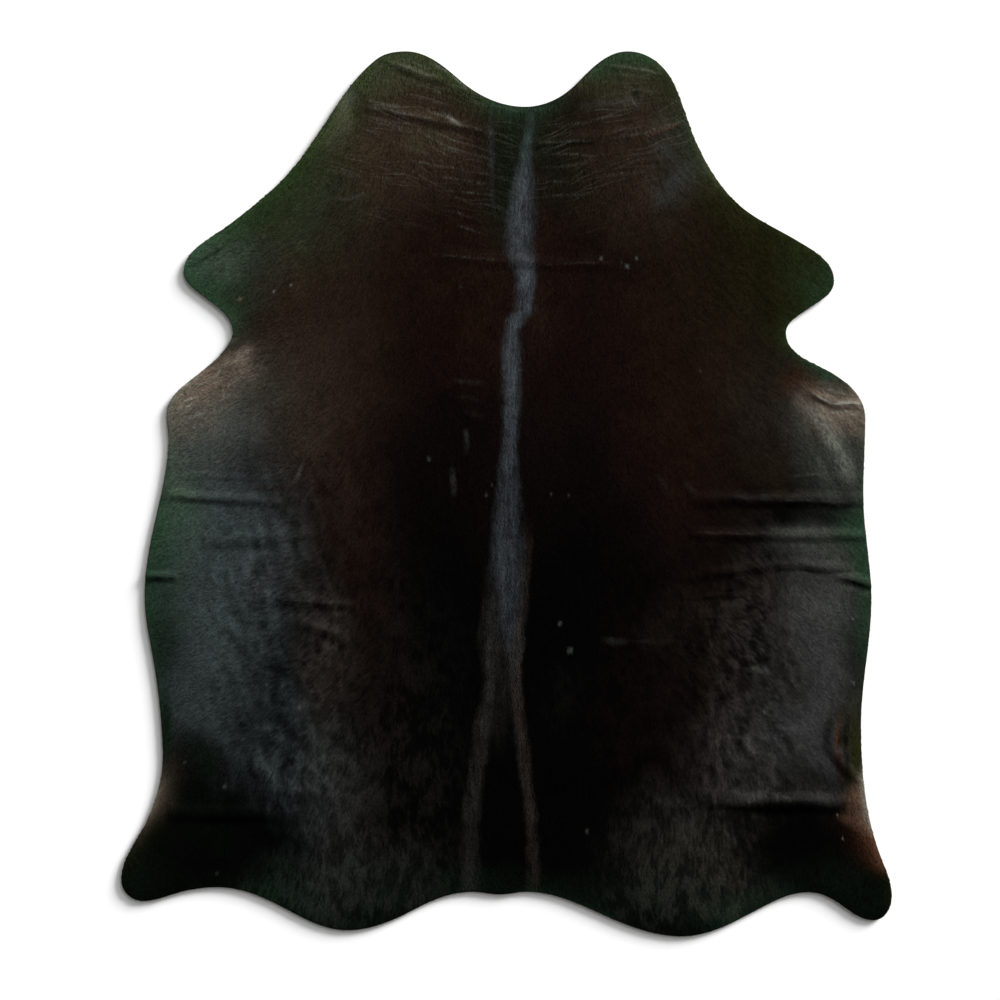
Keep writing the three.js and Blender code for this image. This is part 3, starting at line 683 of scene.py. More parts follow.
# A stroke is a thin line or a small mark of one tone, bowed as a ridge is: its ends, its bow,
# half its width and how fully it covers.
Stroke = namedtuple("Stroke", "tone x1 y1 x2 y2 bow half much")
strokes = [Stroke(*row) for row in (
    # Dark lines in the hollows below the ridges and along the right waist's rolled rim. The black
    # ones are painted shade.
    ("black", 0.701, -0.023, 0.95, -0.036, 0, 0.009, 0.45),
    ("black", 0.846, -0.112, 0.94, -0.122, 0, 0.009, 0.45),
    ("black", 0.467, -0.224, 0.685, -0.19, -0.002, 0.005, 0.45),
    ("black", 0.675, -0.19, 0.872, -0.203, -0.003, 0.005, 0.45),
    ("black", 0.862, -0.221, 0.955, -0.247, 0, 0.006, 0.6),
    ("black", 0.454, -0.276, 0.659, -0.265, 0, 0.005, 0.5),
    ("black", 0.472, -0.325, 0.669, -0.322, 0, 0.005, 0.4),
    ("black", 0.503, -0.234, 0.659, -0.218, 0, 0.004, 0.3),
    ("black", 0.571, -0.822, 0.935, -0.824, 0, 0.019, 1.9),
    ("black", 0.477, -0.814, 0.737, -0.819, 0, 0.008, 0.7),
    ("moss", 0.909, -0.546, 0.906, -0.759, 0, 0.012, 0.7),
    ("black", 0.89, -0.556, 0.89, -0.754, -0.01, 0.011, 0.8),
    ("brown", 0.88, -0.536, 0.883, -0.77, -0.02, 0.016, 0.9),
    ("rust", 0.875, -0.551, 0.872, -0.754, -0.02, 0.006, 0.3),
    ("black", -0.87, -0.013, -0.537, -0.029, 0, 0.006, 0.2),
    ("brown", -0.677, 0.016, -0.526, 0.013, 0, 0.009, 0.6),
    ("black", -0.943, -0.221, -0.844, -0.224, 0, 0.009, 0.55),
    ("black", -0.563, -0.276, -0.391, -0.296, 0, 0.006, 0.12),
    ("black", -0.542, -0.333, -0.402, -0.39, 0.005, 0.007, 0.16),
    ("black", -0.901, -0.848, -0.576, -0.848, 0, 0.012, 0.85),
    ("pine", -0.831, 0.58, -0.716, 0.655, 0, 0.006, 0.5),
    ("pine", -0.885, -0.494, -0.88, -0.712, 0, 0.014, 1.6),
    ("black", -0.87, 0.042, -0.537, 0.031, 0, 0.007, 0.3),
    ("black", -0.859, 0.068, -0.589, 0.057, 0, 0.005, 0.25),
    # Painted highlights along the ridges and wrinkles.
    ("ash", 0.503, -0.008, 0.971, -0.005, 0, 0.008, 0.25),
    ("mist", 0.607, -0.013, 0.971, -0.023, 0, 0.005, 0.15),
    ("pale", 0.467, -0.099, 0.737, -0.104, 0, 0.005, 0.06),
    ("ash", 0.386, -0.801, 0.659, -0.801, 0, 0.013, 0.8),
    ("ash", 0.581, -0.785, 0.909, -0.785, 0, 0.015, 0.55),
    ("mist", 0.732, 0.044, 0.841, 0.052, 0.003, 0.005, 0.12),
    ("mist", 0.857, -0.234, 0.955, -0.265, 0, 0.007, 0.45),
    ("mist", -0.529, 0.083, -0.552, 0.021, 0.002, 0.007, 0.45),
    ("ash", -0.63, -0.224, -0.636, -0.315, 0, 0.011, 0.25),
    ("ash", -0.579, -0.27, -0.402, -0.283, 0, 0.006, 0.2),
    ("worn", 0.779, 0.25, 0.893, 0.026, 0.004, 0.024, 0.3),
    ("mist", 0.82, 0.151, 0.893, 0.026, 0.002, 0.014, 0.3),
    # Creases of the neck, pale from wear and from painted highlight on their crests.
    ("worn", -0.313, 1.126, -0.168, 1.071, 0.004, 0.0037, 0.25),
    ("worn", -0.303, 1.139, -0.194, 1.102, 0.003, 0.0024, 0.2),
    ("worn", -0.35, 1.113, -0.246, 1.097, 0.002, 0.0024, 0.15),
    ("worn", -0.282, 1.087, -0.157, 1.035, 0.002, 0.0022, 0.15),
    ("worn", -0.402, 1.014, -0.173, 0.967, 0.003, 0.0037, 0.18),
    ("worn", -0.178, 0.97, -0.033, 0.936, 0.001, 0.0031, 0.12),
    ("worn", -0.391, 1.03, -0.256, 1.004, -0.002, 0.0022, 0.15),
    ("worn", -0.256, 0.952, -0.116, 0.879, 0.002, 0.0031, 0.18),
    ("worn", -0.35, 0.978, -0.225, 0.931, 0.001, 0.0022, 0.16),
    ("worn", -0.225, 1.004, -0.095, 0.952, 0.002, 0.0022, 0.15),
    ("worn", -0.313, 0.92, -0.183, 0.874, 0.001, 0.0022, 0.13),
    ("worn", -0.267, 0.868, -0.095, 0.837, 0.001, 0.0022, 0.15),
    ("worn", -0.173, 0.9, -0.022, 0.868, 0.001, 0.0022, 0.15),
    ("worn", -0.204, 0.827, -0.038, 0.801, 0.001, 0.0022, 0.14),
    ("worn", -0.183, 0.79, -0.017, 0.772, 0.001, 0.0019, 0.12),
    ("worn", -0.131, 0.697, -0.048, 0.671, 0.001, 0.0024, 0.12),
    ("worn", -0.163, 0.738, -0.069, 0.712, 0.001, 0.0019, 0.11),
    ("worn", -0.199, 0.624, -0.001, 0.606, -0.001, 0.0024, 0.1),
    ("worn", 0.074, 0.593, 0.285, 0.601, 0.001, 0.0022, 0.07),
    ("green", 0.061, 1.004, 0.045, 0.827, 0, 0.014, 0.28),
    ("worn", 0.238, 1.118, 0.42, 1.087, 0.004, 0.0031, 0.22),
    ("worn", 0.259, 1.092, 0.373, 1.076, 0.002, 0.0022, 0.15),
    ("worn", 0.274, 1.061, 0.409, 1.045, -0.002, 0.0024, 0.13),
    ("mist", 0.181, 1.006, 0.363, 1.022, 0.003, 0.013, 0.25),
    ("mist", 0.305, 1.037, 0.347, 1.004, 0, 0.008, 0.35),
    ("worn", 0.071, 0.913, 0.251, 0.918, -0.001, 0.0027, 0.14),
    ("pale", 0.243, 0.918, 0.451, 0.962, -0.003, 0.006, 0.36),
    ("worn", 0.087, 0.889, 0.243, 0.874, 0.001, 0.0022, 0.13),
    ("worn", 0.069, 0.809, 0.165, 0.816, 0, 0.0024, 0.1),
    ("worn", 0.077, 0.848, 0.222, 0.858, -0.001, 0.0022, 0.09),
    ("worn", 0.082, 0.775, 0.207, 0.78, -0.001, 0.0019, 0.12),
    ("worn", 0.108, 0.952, 0.269, 0.978, -0.002, 0.0022, 0.13),
    ("worn", 0.243, 0.827, 0.378, 0.842, -0.002, 0.0022, 0.12),
    ("tawny", 0.337, 0.923, 0.461, 0.967, -0.002, 0.006, 0.35),
    ("grey", 0.482, 0.868, 0.368, 0.728, 0, 0.022, 0.3),
    ("grey", 0.384, 0.92, 0.441, 0.868, 0, 0.018, 0.3),
    ("mist", -0.469, 0.775, -0.36, 0.783, -0.012, 0.006, 0.3),
    ("worn", -0.204, 1.128, -0.095, 1.045, 0.004, 0.004, 0.35),
    ("worn", -0.173, 0.993, -0.116, 0.952, 0.002, 0.005, 0.35),
    ("worn", -0.267, 1.17, -0.173, 1.128, 0.002, 0.003, 0.25),
    ("pine", 0.331, 1.061, 0.342, 1.019, 0, 0.013, 0.6),
    # The wrinkled armpits: pale thin hair, painted highlight on the wrinkles' crests, and painted
    # shade in the black lines between them.
    ("worn", -0.833, 0.26, -0.771, 0.291, 0.003, 0.004, 0.8),
    ("worn", -0.849, 0.27, -0.781, 0.317, 0.002, 0.0036, 0.55),
    ("worn", -0.776, 0.286, -0.737, 0.328, -0.003, 0.004, 0.5),
    ("worn", -0.849, 0.234, -0.797, 0.255, 0.001, 0.004, 0.5),
    ("worn", -0.859, 0.213, -0.807, 0.234, 0.001, 0.0036, 0.4),
    ("worn", -0.802, 0.317, -0.74, 0.364, 0.002, 0.004, 0.45),
    ("worn", -0.709, 0.348, -0.656, 0.372, 0.003, 0.008, 0.25),
    ("pale", -0.714, 0.333, -0.667, 0.348, 0.002, 0.008, 0.35),
    ("pale", -0.724, 0.385, -0.693, 0.406, 0, 0.007, 0.15),
    ("black", -0.76, 0.265, -0.703, 0.317, -0.003, 0.006, 0.4),
    ("pale", -0.781, 0.224, -0.682, 0.26, 0.004, 0.006, 0.22),
    ("worn", -0.838, 0.192, -0.766, 0.213, 0.001, 0.0036, 0.25),
    ("worn", 0.792, 0.263, 0.862, 0.226, -0.002, 0.005, 1.1),
    ("worn", 0.841, 0.234, 0.929, 0.231, 0.003, 0.0055, 1.4),
    ("worn", 0.82, 0.276, 0.893, 0.255, 0.002, 0.004, 0.4),
    ("worn", 0.82, 0.213, 0.919, 0.218, -0.002, 0.004, 0.55),
    ("pale", 0.836, 0.203, 0.924, 0.208, -0.002, 0.009, 0.45),
    ("black", 0.805, 0.242, 0.862, 0.216, -0.002, 0.005, 0.35),
    ("green", 0.81, 0.304, 0.862, 0.309, 0, 0.01, 0.6),
    # Small pale marks and a few burrs.
    ("pale", -0.699, 0.507, -0.687, 0.506, 0, 0.006, 0.5),
    ("pale", -0.609, 0.528, -0.6, 0.526, 0, 0.004, 0.55),
    ("pale", -0.564, 0.543, -0.556, 0.542, 0, 0.004, 0.45),
    ("mist", -0.635, 0.668, -0.621, 0.667, 0, 0.007, 0.25),
    ("mist", 0.24, 0.611, 0.252, 0.61, 0, 0.006, 0.35),
    ("mist", 0.306, 0.593, 0.32, 0.592, 0, 0.007, 0.6),
    ("mist", 0.331, 0.614, 0.343, 0.612, 0, 0.006, 0.6),
    ("mist", 0.296, 0.603, 0.304, 0.602, 0, 0.004, 0.35),
    ("mist", -0.127, 0.538, -0.115, 0.537, 0, 0.006, 0.25),
    ("mist", 0.275, 0.723, 0.284, 0.721, 0, 0.005, 0.22),
    ("mist", 0.133, -0.338, 0.145, -0.339, 0, 0.006, 0.6),
    ("mist", 0.156, -0.408, 0.174, -0.409, 0, 0.009, 0.65),
    ("mist", -0.208, 0.091, -0.195, 0.09, 0, 0.006, 0.45),
    ("mist", -0.058, -0.005, -0.048, -0.006, 0, 0.005, 0.4),
    ("mist", 0.112, 0, 0.12, -0.001, 0, 0.004, 0.4),
    ("mist", 0.158, -0.005, 0.167, -0.006, 0, 0.004, 0.4),
    ("mist", -0.042, 0.023, -0.034, 0.022, 0, 0.004, 0.4),
    ("mist", 0.203, -0.876, 0.215, -0.877, 0, 0.006, 0.3),
    ("pale", 0.499, 0.32, 0.507, 0.319, 0, 0.004, 0.3),
    ("mist", -0.74, -0.759, -0.724, -0.76, 0, 0.008, 0.4),
    ("mist", -0.841, -0.697, -0.831, -0.698, 0, 0.005, 0.3),
    ("mist", -0.758, -0.985, -0.748, -0.987, 0, 0.005, 0.3),
    ("mist", -0.629, -0.497, -0.621, -0.498, 0, 0.004, 0.3),
    ("mist", -0.543, -0.554, -0.531, -0.555, 0, 0.006, 0.4),
    ("worn", 0.898, -0.322, 0.904, -0.324, 0, 0.003, 0.8),
    ("worn", 0.898, -0.491, 0.904, -0.493, 0, 0.003, 0.8),
    ("worn", 0.669, -0.564, 0.675, -0.566, 0, 0.003, 0.8),
    ("worn", 0.856, -0.832, 0.862, -0.833, 0, 0.003, 0.7),
    ("worn", 0.872, -0.894, 0.878, -0.896, 0, 0.003, 0.8),
    ("black", 0.55, -0.528, 0.57, -0.529, 0, 0.01, 0.9),
    ("black", 0.592, -0.647, 0.617, -0.649, 0, 0.012, 0.9),
    ("black", 0.469, -0.463, 0.485, -0.464, 0, 0.008, 0.6),
    ("black", 0.643, -0.432, 0.659, -0.433, 0, 0.008, 0.5),
    ("black", -0.512, -0.564, -0.5, -0.566, 0, 0.006, 0.5),
    ("mist", 0.243, -0.38, 0.316, -0.385, 0, 0.01, 0.13),
    ("ash", 0.295, -0.382, 0.477, -0.385, 0, 0.006, 0.12),
    ("mist", -0.105, 0.172, -0.103, 0.104, 0, 0.009, 0.18),
    ("mist", -0.142, 0.073, -0.136, -0.01, 0, 0.01, 0.18),
    ("ash", -0.152, 0.296, -0.053, 0.286, 0.001, 0.007, 0.22),
    ("ash", -0.134, 0.255, -0.058, 0.239, 0.001, 0.007, 0.16),
    ("dun", -0.116, 0.216, -0.058, 0.198, 0.001, 0.007, 0.16),
    ("ash", 0.381, 0.06, 0.435, -0.01, 0.002, 0.008, 0.12),
    ("ash", 0.459, 0.036, 0.495, -0.008, 0.002, 0.008, 0.14),
    ("mist", 0.612, -0.458, 0.69, -0.473, 0.008, 0.012, 0.3),
    ("ash", -0.477, -0.322, -0.409, -0.307, 0, 0.012, 0.25),
)]

# A band of strands follows the spine. Each row gives, at a place along the spine, its middle,
# half its width and how fully it covers there.
Band = namedtuple("Band", "tone rows")
bands = [
    Band("stripe", [
        (-0.54, 0.022, 0.012, 0),
        (-0.432, 0.022, 0.013, 0.28),
        (-0.37, 0.014, 0.024, 0.28),
        (-0.302, 0.004, 0.03, 0.36),
        (-0.224, 0.003, 0.033, 0.48),
        (-0.146, 0.002, 0.032, 0.58),
        (-0.068, 0.001, 0.029, 0.6),
        (0.036, 0.005, 0.022, 0.62),
        (0.14, 0.007, 0.016, 0.62),
        (0.244, 0.014, 0.018, 0.72),
        (0.348, 0.013, 0.019, 0.8),
        (0.426, 0.015, 0.017, 0.74),
        (0.447, 0.022, 0.02, 0.68),
        (0.478, 0.046, 0.02, 0.8),
        (0.556, 0.05, 0.019, 0.82),
        (0.6, 0.042, 0.026, 0.7),
        (0.634, 0.033, 0.028, 0.74),
        (0.712, 0.036, 0.029, 0.8),
        (0.79, 0.044, 0.023, 0.74),
        (0.868, 0.05, 0.016, 0.6),
        (0.933, 0.056, 0.013, 0.38),
        (0.985, 0.066, 0.012, 0.16),
        (1.01, 0.068, 0.012, 0.1),
    ]),
    Band("stripe", [
        (0.73, -0.038, 0.006, 0),
        (0.79, -0.038, 0.006, 0.14),
        (0.868, -0.04, 0.007, 0.2),
        (0.933, -0.04, 0.008, 0.18),
        (1, -0.04, 0.006, 0.1),
    ]),
    Band("ash", [
        (-1.03, -0.098, 0.02, 0.3),
        (-0.9, -0.094, 0.018, 0.4),
        (-0.796, -0.088, 0.018, 0.42),
        (-0.692, -0.073, 0.019, 0.46),
        (-0.588, -0.06, 0.018, 0.46),
        (-0.484, -0.042, 0.012, 0.46),
        (-0.38, -0.044, 0.022, 0.45),
        (-0.28, -0.042, 0.018, 0.3),
        (-0.16, -0.044, 0.014, 0),
    ]),
    Band("dun", [
        (-1.03, 0.072, 0.014, 0.22),
        (-0.9, 0.068, 0.013, 0.42),
        (-0.796, 0.06, 0.013, 0.42),
        (-0.692, 0.044, 0.014, 0.55),
        (-0.588, 0.032, 0.013, 0.55),
        (-0.484, 0.026, 0.012, 0.55),
        (-0.38, 0.028, 0.014, 0.5),
        (-0.26, 0.044, 0.012, 0.35),
        (-0.13, 0.054, 0.01, 0.25),
        (-0.06, 0.054, 0.01, 0),
    ]),
    Band("ash", [
        (-0.7, -0.02, 0.024, 0),
        (-0.56, -0.012, 0.024, 0.2),
        (-0.44, -0.008, 0.024, 0.26),
        (-0.38, -0.008, 0.024, 0.16),
        (-0.34, -0.008, 0.024, 0),
    ]),
]

# How soft the rim of a band is, and where the coat stands in low ruffles.
BAND_SOFT = 0.8
RUFFLED_FLANKS = (
    Patch("ash", -0.57, -0.48, 0.20, 0.48, 6, 0.5, 1, 0),
    Patch("ash", 0.60, -0.58, 0.17, 0.42, 0, 0.5, 1, 0),
)


def rising(value, start, over):
    """0 up to start, and 1 from there and over on, smooth at both ends."""
    return eased((value - start) / over)


def hair_way(x, y):
    """The way the hair lies, as an angle from +X: to the tail, and outwards on the flanks."""
    outwards = rising(abs(x), start=0.12, over=0.55)
    rump = rising(-y, start=0.45, over=0.45)
    most = np.where(x < 0, TURN_ON_LEFT_FLANK, TURN_ON_RIGHT_FLANK)
    sway = 2 * HAIR_SWAY * (cloud(x, y, size=0.09, seed=5) - 0.5)
    return np.radians(-90 + most * outwards * (1 - STRAIGHTER_ON_RUMP * rump) + sway)


def tufts(x, y, width, reach, seed):
    """Random streaks of that width and reach along the hair, from 0 to 1."""
    way = hair_way(x, y)
    steps = 5
    contrast = 2.2
    total = 0
    for step in range(steps):
        on = (step / (steps - 1) - 0.5) * reach
        total = total + cloud(x + on * np.cos(way), y + on * np.sin(way), width, seed)
    return np.clip(0.5 + (total / steps - 0.5) * contrast, 0, 1)


def ruffles(x, y):
    """Low ruffles of the coat, across the hide, from 0 to 1."""
    return cloud(x, y * 0.6, size=0.016, seed=12)


def soft_shape(off, soft):
    """1 inside a rim at 1, and 0 outside of it, with a rim that soft."""
    return eased((1 + soft - off) / (2 * soft))


def patch_shape(patch, x, y, depth):
    """How fully a patch covers each point: a soft ellipse, kept to the edge where rim is set."""
    turn = math.radians(patch.turn)
    east, north = x - patch.x, y - patch.y
    u = (east * math.cos(turn) + north * math.sin(turn)) / patch.wide
    v = (north * math.cos(turn) - east * math.sin(turn)) / patch.long
    shape = soft_shape(np.hypot(u, v), patch.soft)
    return shape * np.exp(-depth / patch.rim) if patch.rim else shape


def band_shape(band, x, y):
    """How fully a band of strands along the spine covers each point."""
    rows = np.array(band.rows)
    middle = np.interp(y, rows[:, 0], rows[:, 1])
    half = np.interp(y, rows[:, 0], rows[:, 2])
    much = np.interp(y, rows[:, 0], rows[:, 3], left=0, right=0)
    return soft_shape(abs(x - middle) / half, BAND_SOFT) * much


def linear_colour(tone):
    """A hair tone, given as it looks on a screen, in the renderer's own scale."""
    value = np.array(hair_tones[tone]) / 255
    return np.where(value <= 0.04045, value / 12.92, ((value + 0.055) / 1.055) ** 2.4)


def lay_stroke(tint, stroke, x, y):
    """Lays one stroke's tone over the tints of the points near it, uneven and with glints."""
    reach = math.hypot(stroke.x2 - stroke.x1, stroke.y2 - stroke.y1) / 2 + stroke.half + abs(stroke.bow)
    off_x, off_y = x - (stroke.x1 + stroke.x2) / 2, y - (stroke.y1 + stroke.y2) / 2
    near = np.flatnonzero((abs(off_x) < reach) & (abs(off_y) < reach))
    rise, across = place_on_crease(stroke, x[near], y[near])
    uneven = np.clip(0.35 + 1.3 * cloud(x[near], y[near], size=0.018, seed=24), 0, 1.3)
    glints = 0.4 + 1.2 * cloud(x[near], y[near], size=0.004, seed=25)
    much = np.clip(stroke.much * uneven * glints, 0, 1) * eased(1.2 - abs(across) / stroke.half) * rise
    tint[near] += much[:, None] * (linear_colour(stroke.tone) - tint[near])


def neck_wear_and_highlight(x, y):
    """How pale the neck's many fine wrinkles are, from wear and painted highlight, from 0 to its most.
    """
    high = rising(y, start=0.60, over=0.35)
    inner = rising(-abs(x - 0.02), start=-0.58, over=0.25)
    patchy = rising(cloud(x, y, size=0.07, seed=41), start=0.1, over=0.6)
    return NECK_WEAR_AND_HIGHLIGHT * (high * inner * patchy)


def ruffled(x, y):
    """Where the coat of the flanks and thighs stands in low ruffles, from 0 to 1."""
    return np.maximum(*[patch_shape(flank, x, y, 0) for flank in RUFFLED_FLANKS])


def wandered(across, x, y, seed):
    """One of a point's places, moved a little to and fro, so that no patch has an even rim."""
    wide, narrow = cloud(x, y, 0.12, seed) - 0.5, cloud(x, y, 0.04, seed + 1) - 0.5
    return across + 0.05 * wide + 0.025 * narrow


def hair_tint(x, y, depth):
    """The hair's colour at each point, that deep in from the edge, as red, green and blue."""
    patch_x, patch_y = wandered(x, x, y, seed=1), wandered(y, x, y, seed=3)
    clumps = (
        0.35 * tufts(x, y, width=0.005, reach=0.016, seed=11) + 0.35 * ruffles(x, y)
        + 0.30 * cloud(patch_x, patch_y, size=0.04, seed=13))
    mottle = rising(clumps, start=0.33, over=0.34)
    tint = np.tile(linear_colour("black"), (len(x), 1))

    def lay(tone, much):
        tint[:] += much[:, None] * (linear_colour(tone) - tint)

    for patch in patches:
        broken = 1 - patch.mottled * (1 - mottle)
        lay(patch.tone, patch_shape(patch, patch_x, patch_y, depth) * patch.much * broken)

    strands = cloud(x + 0.006 * cloud(x, y, size=0.04, seed=20), y * 0.1, size=0.004, seed=21)
    frayed = 0.008 * (cloud(x * 3, y, size=0.03, seed=22) - 0.5)
    frayed_finely = 0.006 * (cloud(x * 2, y, size=0.008, seed=23) - 0.5)
    patchy = cloud(x, y, size=0.022, seed=26)
    for band in bands:
        much = band_shape(band, x + frayed + frayed_finely, y)
        lay(band.tone, much * (0.2 + 0.7 * strands + 0.5 * patchy))

    for stroke in strokes:
        lay_stroke(tint, stroke, x, y)

    columns = cloud(patch_x + 0.3 * y, y * 0.4, size=0.020, seed=33) - 0.5
    ripples = cloud(x * 0.4, y + 0.01 * cloud(x, y, size=0.03, seed=34), size=0.007, seed=35) - 0.5
    grain = 0.35 * tufts(x, y, width=0.0035, reach=0.012, seed=31)
    grain += 0.3 * cloud(patch_x, patch_y, size=0.06, seed=32)
    grain += ruffled(x, y) * (0.9 * columns + 0.6 * ripples)
    return tint * (0.68 + grain)[:, None]


def new_group(name, kind, inputs, outputs):
    """An empty node group with these inputs and outputs, each with its kind of socket."""
    group = bpy.data.node_groups.new(name, kind)
    for in_out, sockets in (("INPUT", inputs), ("OUTPUT", outputs)):
        for socket, holds in sockets.items():
            group.interface.new_socket(name=socket, in_out=in_out, socket_type="NodeSocket" + holds)
    return group


def maths_in(tree):
    """A function that adds a Math node to this tree and gives its output."""
    def maths(operation, a, b=0.0, c=0.0):
        return add_node(tree, "ShaderNodeMath", {0: a, 1: b, 2: c}, operation=operation).outputs["Value"]
    return maths


def worn_wrinkles_with_highlight():
    """A group that gives the fine light lines across the neck, where wrinkles are worn pale and carry a
    painted highlight.
    """
    group = new_group(
        "worn wrinkles", "ShaderNodeTree", {"Wear": "Float", "Line Width": "Float"}, {"Lines": "Float"})
    maths = maths_in(group)
    given = add_node(group, "NodeGroupInput").outputs
    place = add_node(group, "ShaderNodeTexCoord").outputs["Object"]
    x, y, _ = add_node(group, "ShaderNodeSeparateXYZ", {"Vector": place}).outputs
    from_spine = maths("ABSOLUTE", maths("SUBTRACT", x, 0.05))
    waved_y = maths("MULTIPLY_ADD", noise(group, place, scale=7, detail=1), 0.05, y)
    lines = 0.0
    for slope, drawn_out, layer in WRINKLE_LAYERS:
        slanting = maths("MULTIPLY_ADD", from_spine, -slope, waved_y)
        across = maths("DIVIDE", slanting, given["Line Width"])
        along = maths("DIVIDE", maths("DIVIDE", x, drawn_out), given["Line Width"])
        laid = add_node(group, "ShaderNodeCombineXYZ", {"X": along, "Y": across, "Z": layer})
        creased = noise(group, laid.outputs["Vector"], scale=0.3, detail=1.5)
        lines = maths("MAXIMUM", spread(group, creased, low=0.60, high=0.85), lines)
    glints = noise(group, place, scale=260, detail=1)
    lines = maths("MULTIPLY", lines, spread(group, glints, low=0.4, high=0.65, lowest=0.25))
    add_node(group, "NodeGroupOutput", {"Lines": maths("MULTIPLY", lines, given["Wear"])})
    return group


def hair_fibres():
    """A group that gives a tint the streaks, the uneven gloss and the relief of single hairs."""
    group = new_group(
        "hair fibres", "ShaderNodeTree", {"Tint": "Color", "Tone": "Float", "Fibres per Metre": "Float"},
        {"Colour": "Color", "Roughness": "Float", "Relief": "Float"})
    given = add_node(group, "NodeGroupInput").outputs
    place = add_node(group, "ShaderNodeTexCoord").outputs["Object"]
    drawn_out = add_node(group, "ShaderNodeVectorMath", {
        0: place, 1: (1, 0.2, 1)}, operation="MULTIPLY").outputs["Vector"]
    fibres = noise(group, drawn_out, scale=given["Fibres per Metre"], detail=2)
    streaks = spread(group, fibres, low=0.3, high=0.7, lowest=0.7, highest=1.3)
    colour = add_node(group, "ShaderNodeVectorMath", {
        "Vector": given["Tint"], "Scale": maths_in(group)("MULTIPLY", streaks, given["Tone"])},
        operation="SCALE")
    gloss = noise(group, place, scale=45, detail=4)
    rough = spread(group, gloss, low=0.3, high=0.7, lowest=0.5, highest=0.75)
    add_node(group, "NodeGroupOutput", {
        "Colour": colour.outputs["Vector"], "Roughness": rough, "Relief": fibres})
    return group


def hair_material(name, fibres_per_metre, relief):
    """Short dark hair: matt in its depth and softly glossy on its lying side."""
    material, tree, surface = new_material(name)

    def kept(attribute):
        return add_node(tree, "ShaderNodeAttribute", attribute_name=attribute).outputs

    # The pale lines of the neck's wrinkles, wear and painted highlight, are mixed into the tint.
    wrinkled = add_node(tree, "ShaderNodeGroup", {
        "Wear": kept("hair_wear")["Fac"], "Line Width": WRINKLE_WIDTH}, node_tree=worn_wrinkles_with_highlight_group)
    worn = add_node(tree, "ShaderNodeMix", {
        "Factor": wrinkled.outputs["Lines"], "A": kept("hair_tint")["Color"],
        "B": (*linear_colour("worn"), 1)}, data_type="RGBA")
    hair = add_node(tree, "ShaderNodeGroup", {
        "Tint": worn.outputs["Result"], "Tone": kept("hair_tone")["Fac"],
        "Fibres per Metre": fibres_per_metre}, node_tree=hair_fibres_group)
    raised = add_node(tree, "ShaderNodeBump", {
        "Height": hair.outputs["Relief"], "Strength": 0.5, "Distance": relief})
    feed(tree, surface, {
        "Base Color": hair.outputs["Colour"], "Roughness": hair.outputs["Roughness"],
        "Normal": raised.outputs["Normal"], "Specular IOR Level": HAIR_GLOSS})
    return material


def store(mesh, name, values):
    """Keeps a value or a colour for each corner of a mesh."""
    if values.ndim == 1:
        kept = mesh.attributes.new(name, "FLOAT", "POINT")
        kept.data.foreach_set("value", values.astype(np.float32))
    else:
        kept = mesh.attributes.new(name, "FLOAT_COLOR", "POINT")
        opaque = np.column_stack([values, np.ones(len(values))])
        kept.data.foreach_set("color", opaque.astype(np.float32).ravel())


def coat_height(x, y, depth):
    """The top of the flat coat: on the ridges and wrinkles, in low clumps, thin at the edge."""
    grown = eased(depth / RIM)
    hair = COAT_DEPTH_AT_EDGE + (COAT_DEPTH - COAT_DEPTH_AT_EDGE) * grown
    clumps = COAT_CLUMP * (tufts(x, y, width=0.012, reach=0.03, seed=51) - 0.5) * grown
    clumps += COAT_RUFFLE * ruffled(x, y) * (ruffles(x, y) - 0.5) * grown
    return lift(x, y) + lift(x, y, wrinkles) + LEATHER + np.maximum(hair + clumps, COAT_THINNEST)


def corners_of(mesh):
    """The places of a mesh's corners, a row for each."""
    corners = np.empty(len(mesh.vertices) * 3)
    mesh.vertices.foreach_get("co", corners)
    return corners.reshape(-1, 3)


def add_flat_map(mesh):
    """A map of the whole rug as seen from above, for pictures of its hair."""
    mesh.uv_layers.new(name="OFBake")
    of_loop = np.empty(len(mesh.loops), dtype=int)
    mesh.loops.foreach_get("vertex_index", of_loop)
    flat = corners_of(mesh)[of_loop, :2]
    low, high = flat.min(axis=0), flat.max(axis=0)
    mesh.uv_layers["OFBake"].data.foreach_set("uv", ((flat - low) / (high - low)).ravel())


worn_wrinkles_with_highlight_group = worn_wrinkles_with_highlight()
hair_fibres_group = hair_fibres()
coat_plan = hide_plan(COAT_STEP, COAT_EDGE_STEP, creases + wrinkles)
coat_x, coat_y = coat_plan[0].T
coat_depth_in = np.maximum(depth_in(coat_x, coat_y), 0)
coat_mesh = skin_mesh("hair_coat", coat_plan, coat_height(coat_x, coat_y, coat_depth_in))
store(coat_mesh, "hair_tint", hair_tint(coat_x, coat_y, coat_depth_in))
store(coat_mesh, "hair_wear", neck_wear_and_highlight(coat_x, coat_y))
store(coat_mesh, "hair_tone", COAT_TONE + COAT_TONE_MORE * cloud(coat_x, coat_y, size=0.01, seed=52))
coat_mesh.materials.append(hair_material("hair lying flat", COAT_FIBRES_PER_METRE, COAT_FIBRE_RELIEF))
add_flat_map(coat_mesh)
coat = add_object("hair_coat", coat_mesh)
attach(coat, "root")

# Locks: the same hair again, where it parts into small pointed locks that lie over each other
# like shingles, each with its root down in the coat and its tip a little proud of it. They
# are four pieces, one for each quarter of the hide from the rump to the neck.
LOCK_STEP = 0.0034
LOCK_LENGTH = 0.013
LOCK_WIDTH = 0.0025
LOCK_RISE = 0.0016
LOCK_PAST_EDGE = 0.0012
LOCK_SHORTEST = 0.15
LOCK_UNEVEN = 0.3
LOCK_TURN = 12
LOCK_FIBRES_PER_METRE = 1400
LOCK_FIBRE_RELIEF = 0.0002
# A root strays from its place in the row by this share of a step. A lock arches as a sine does
# from 0 at its root, over its crest, to this many radians at its tip.
ROOT_STRAYS = 0.4
ARCH_AT_TIP = 2.6
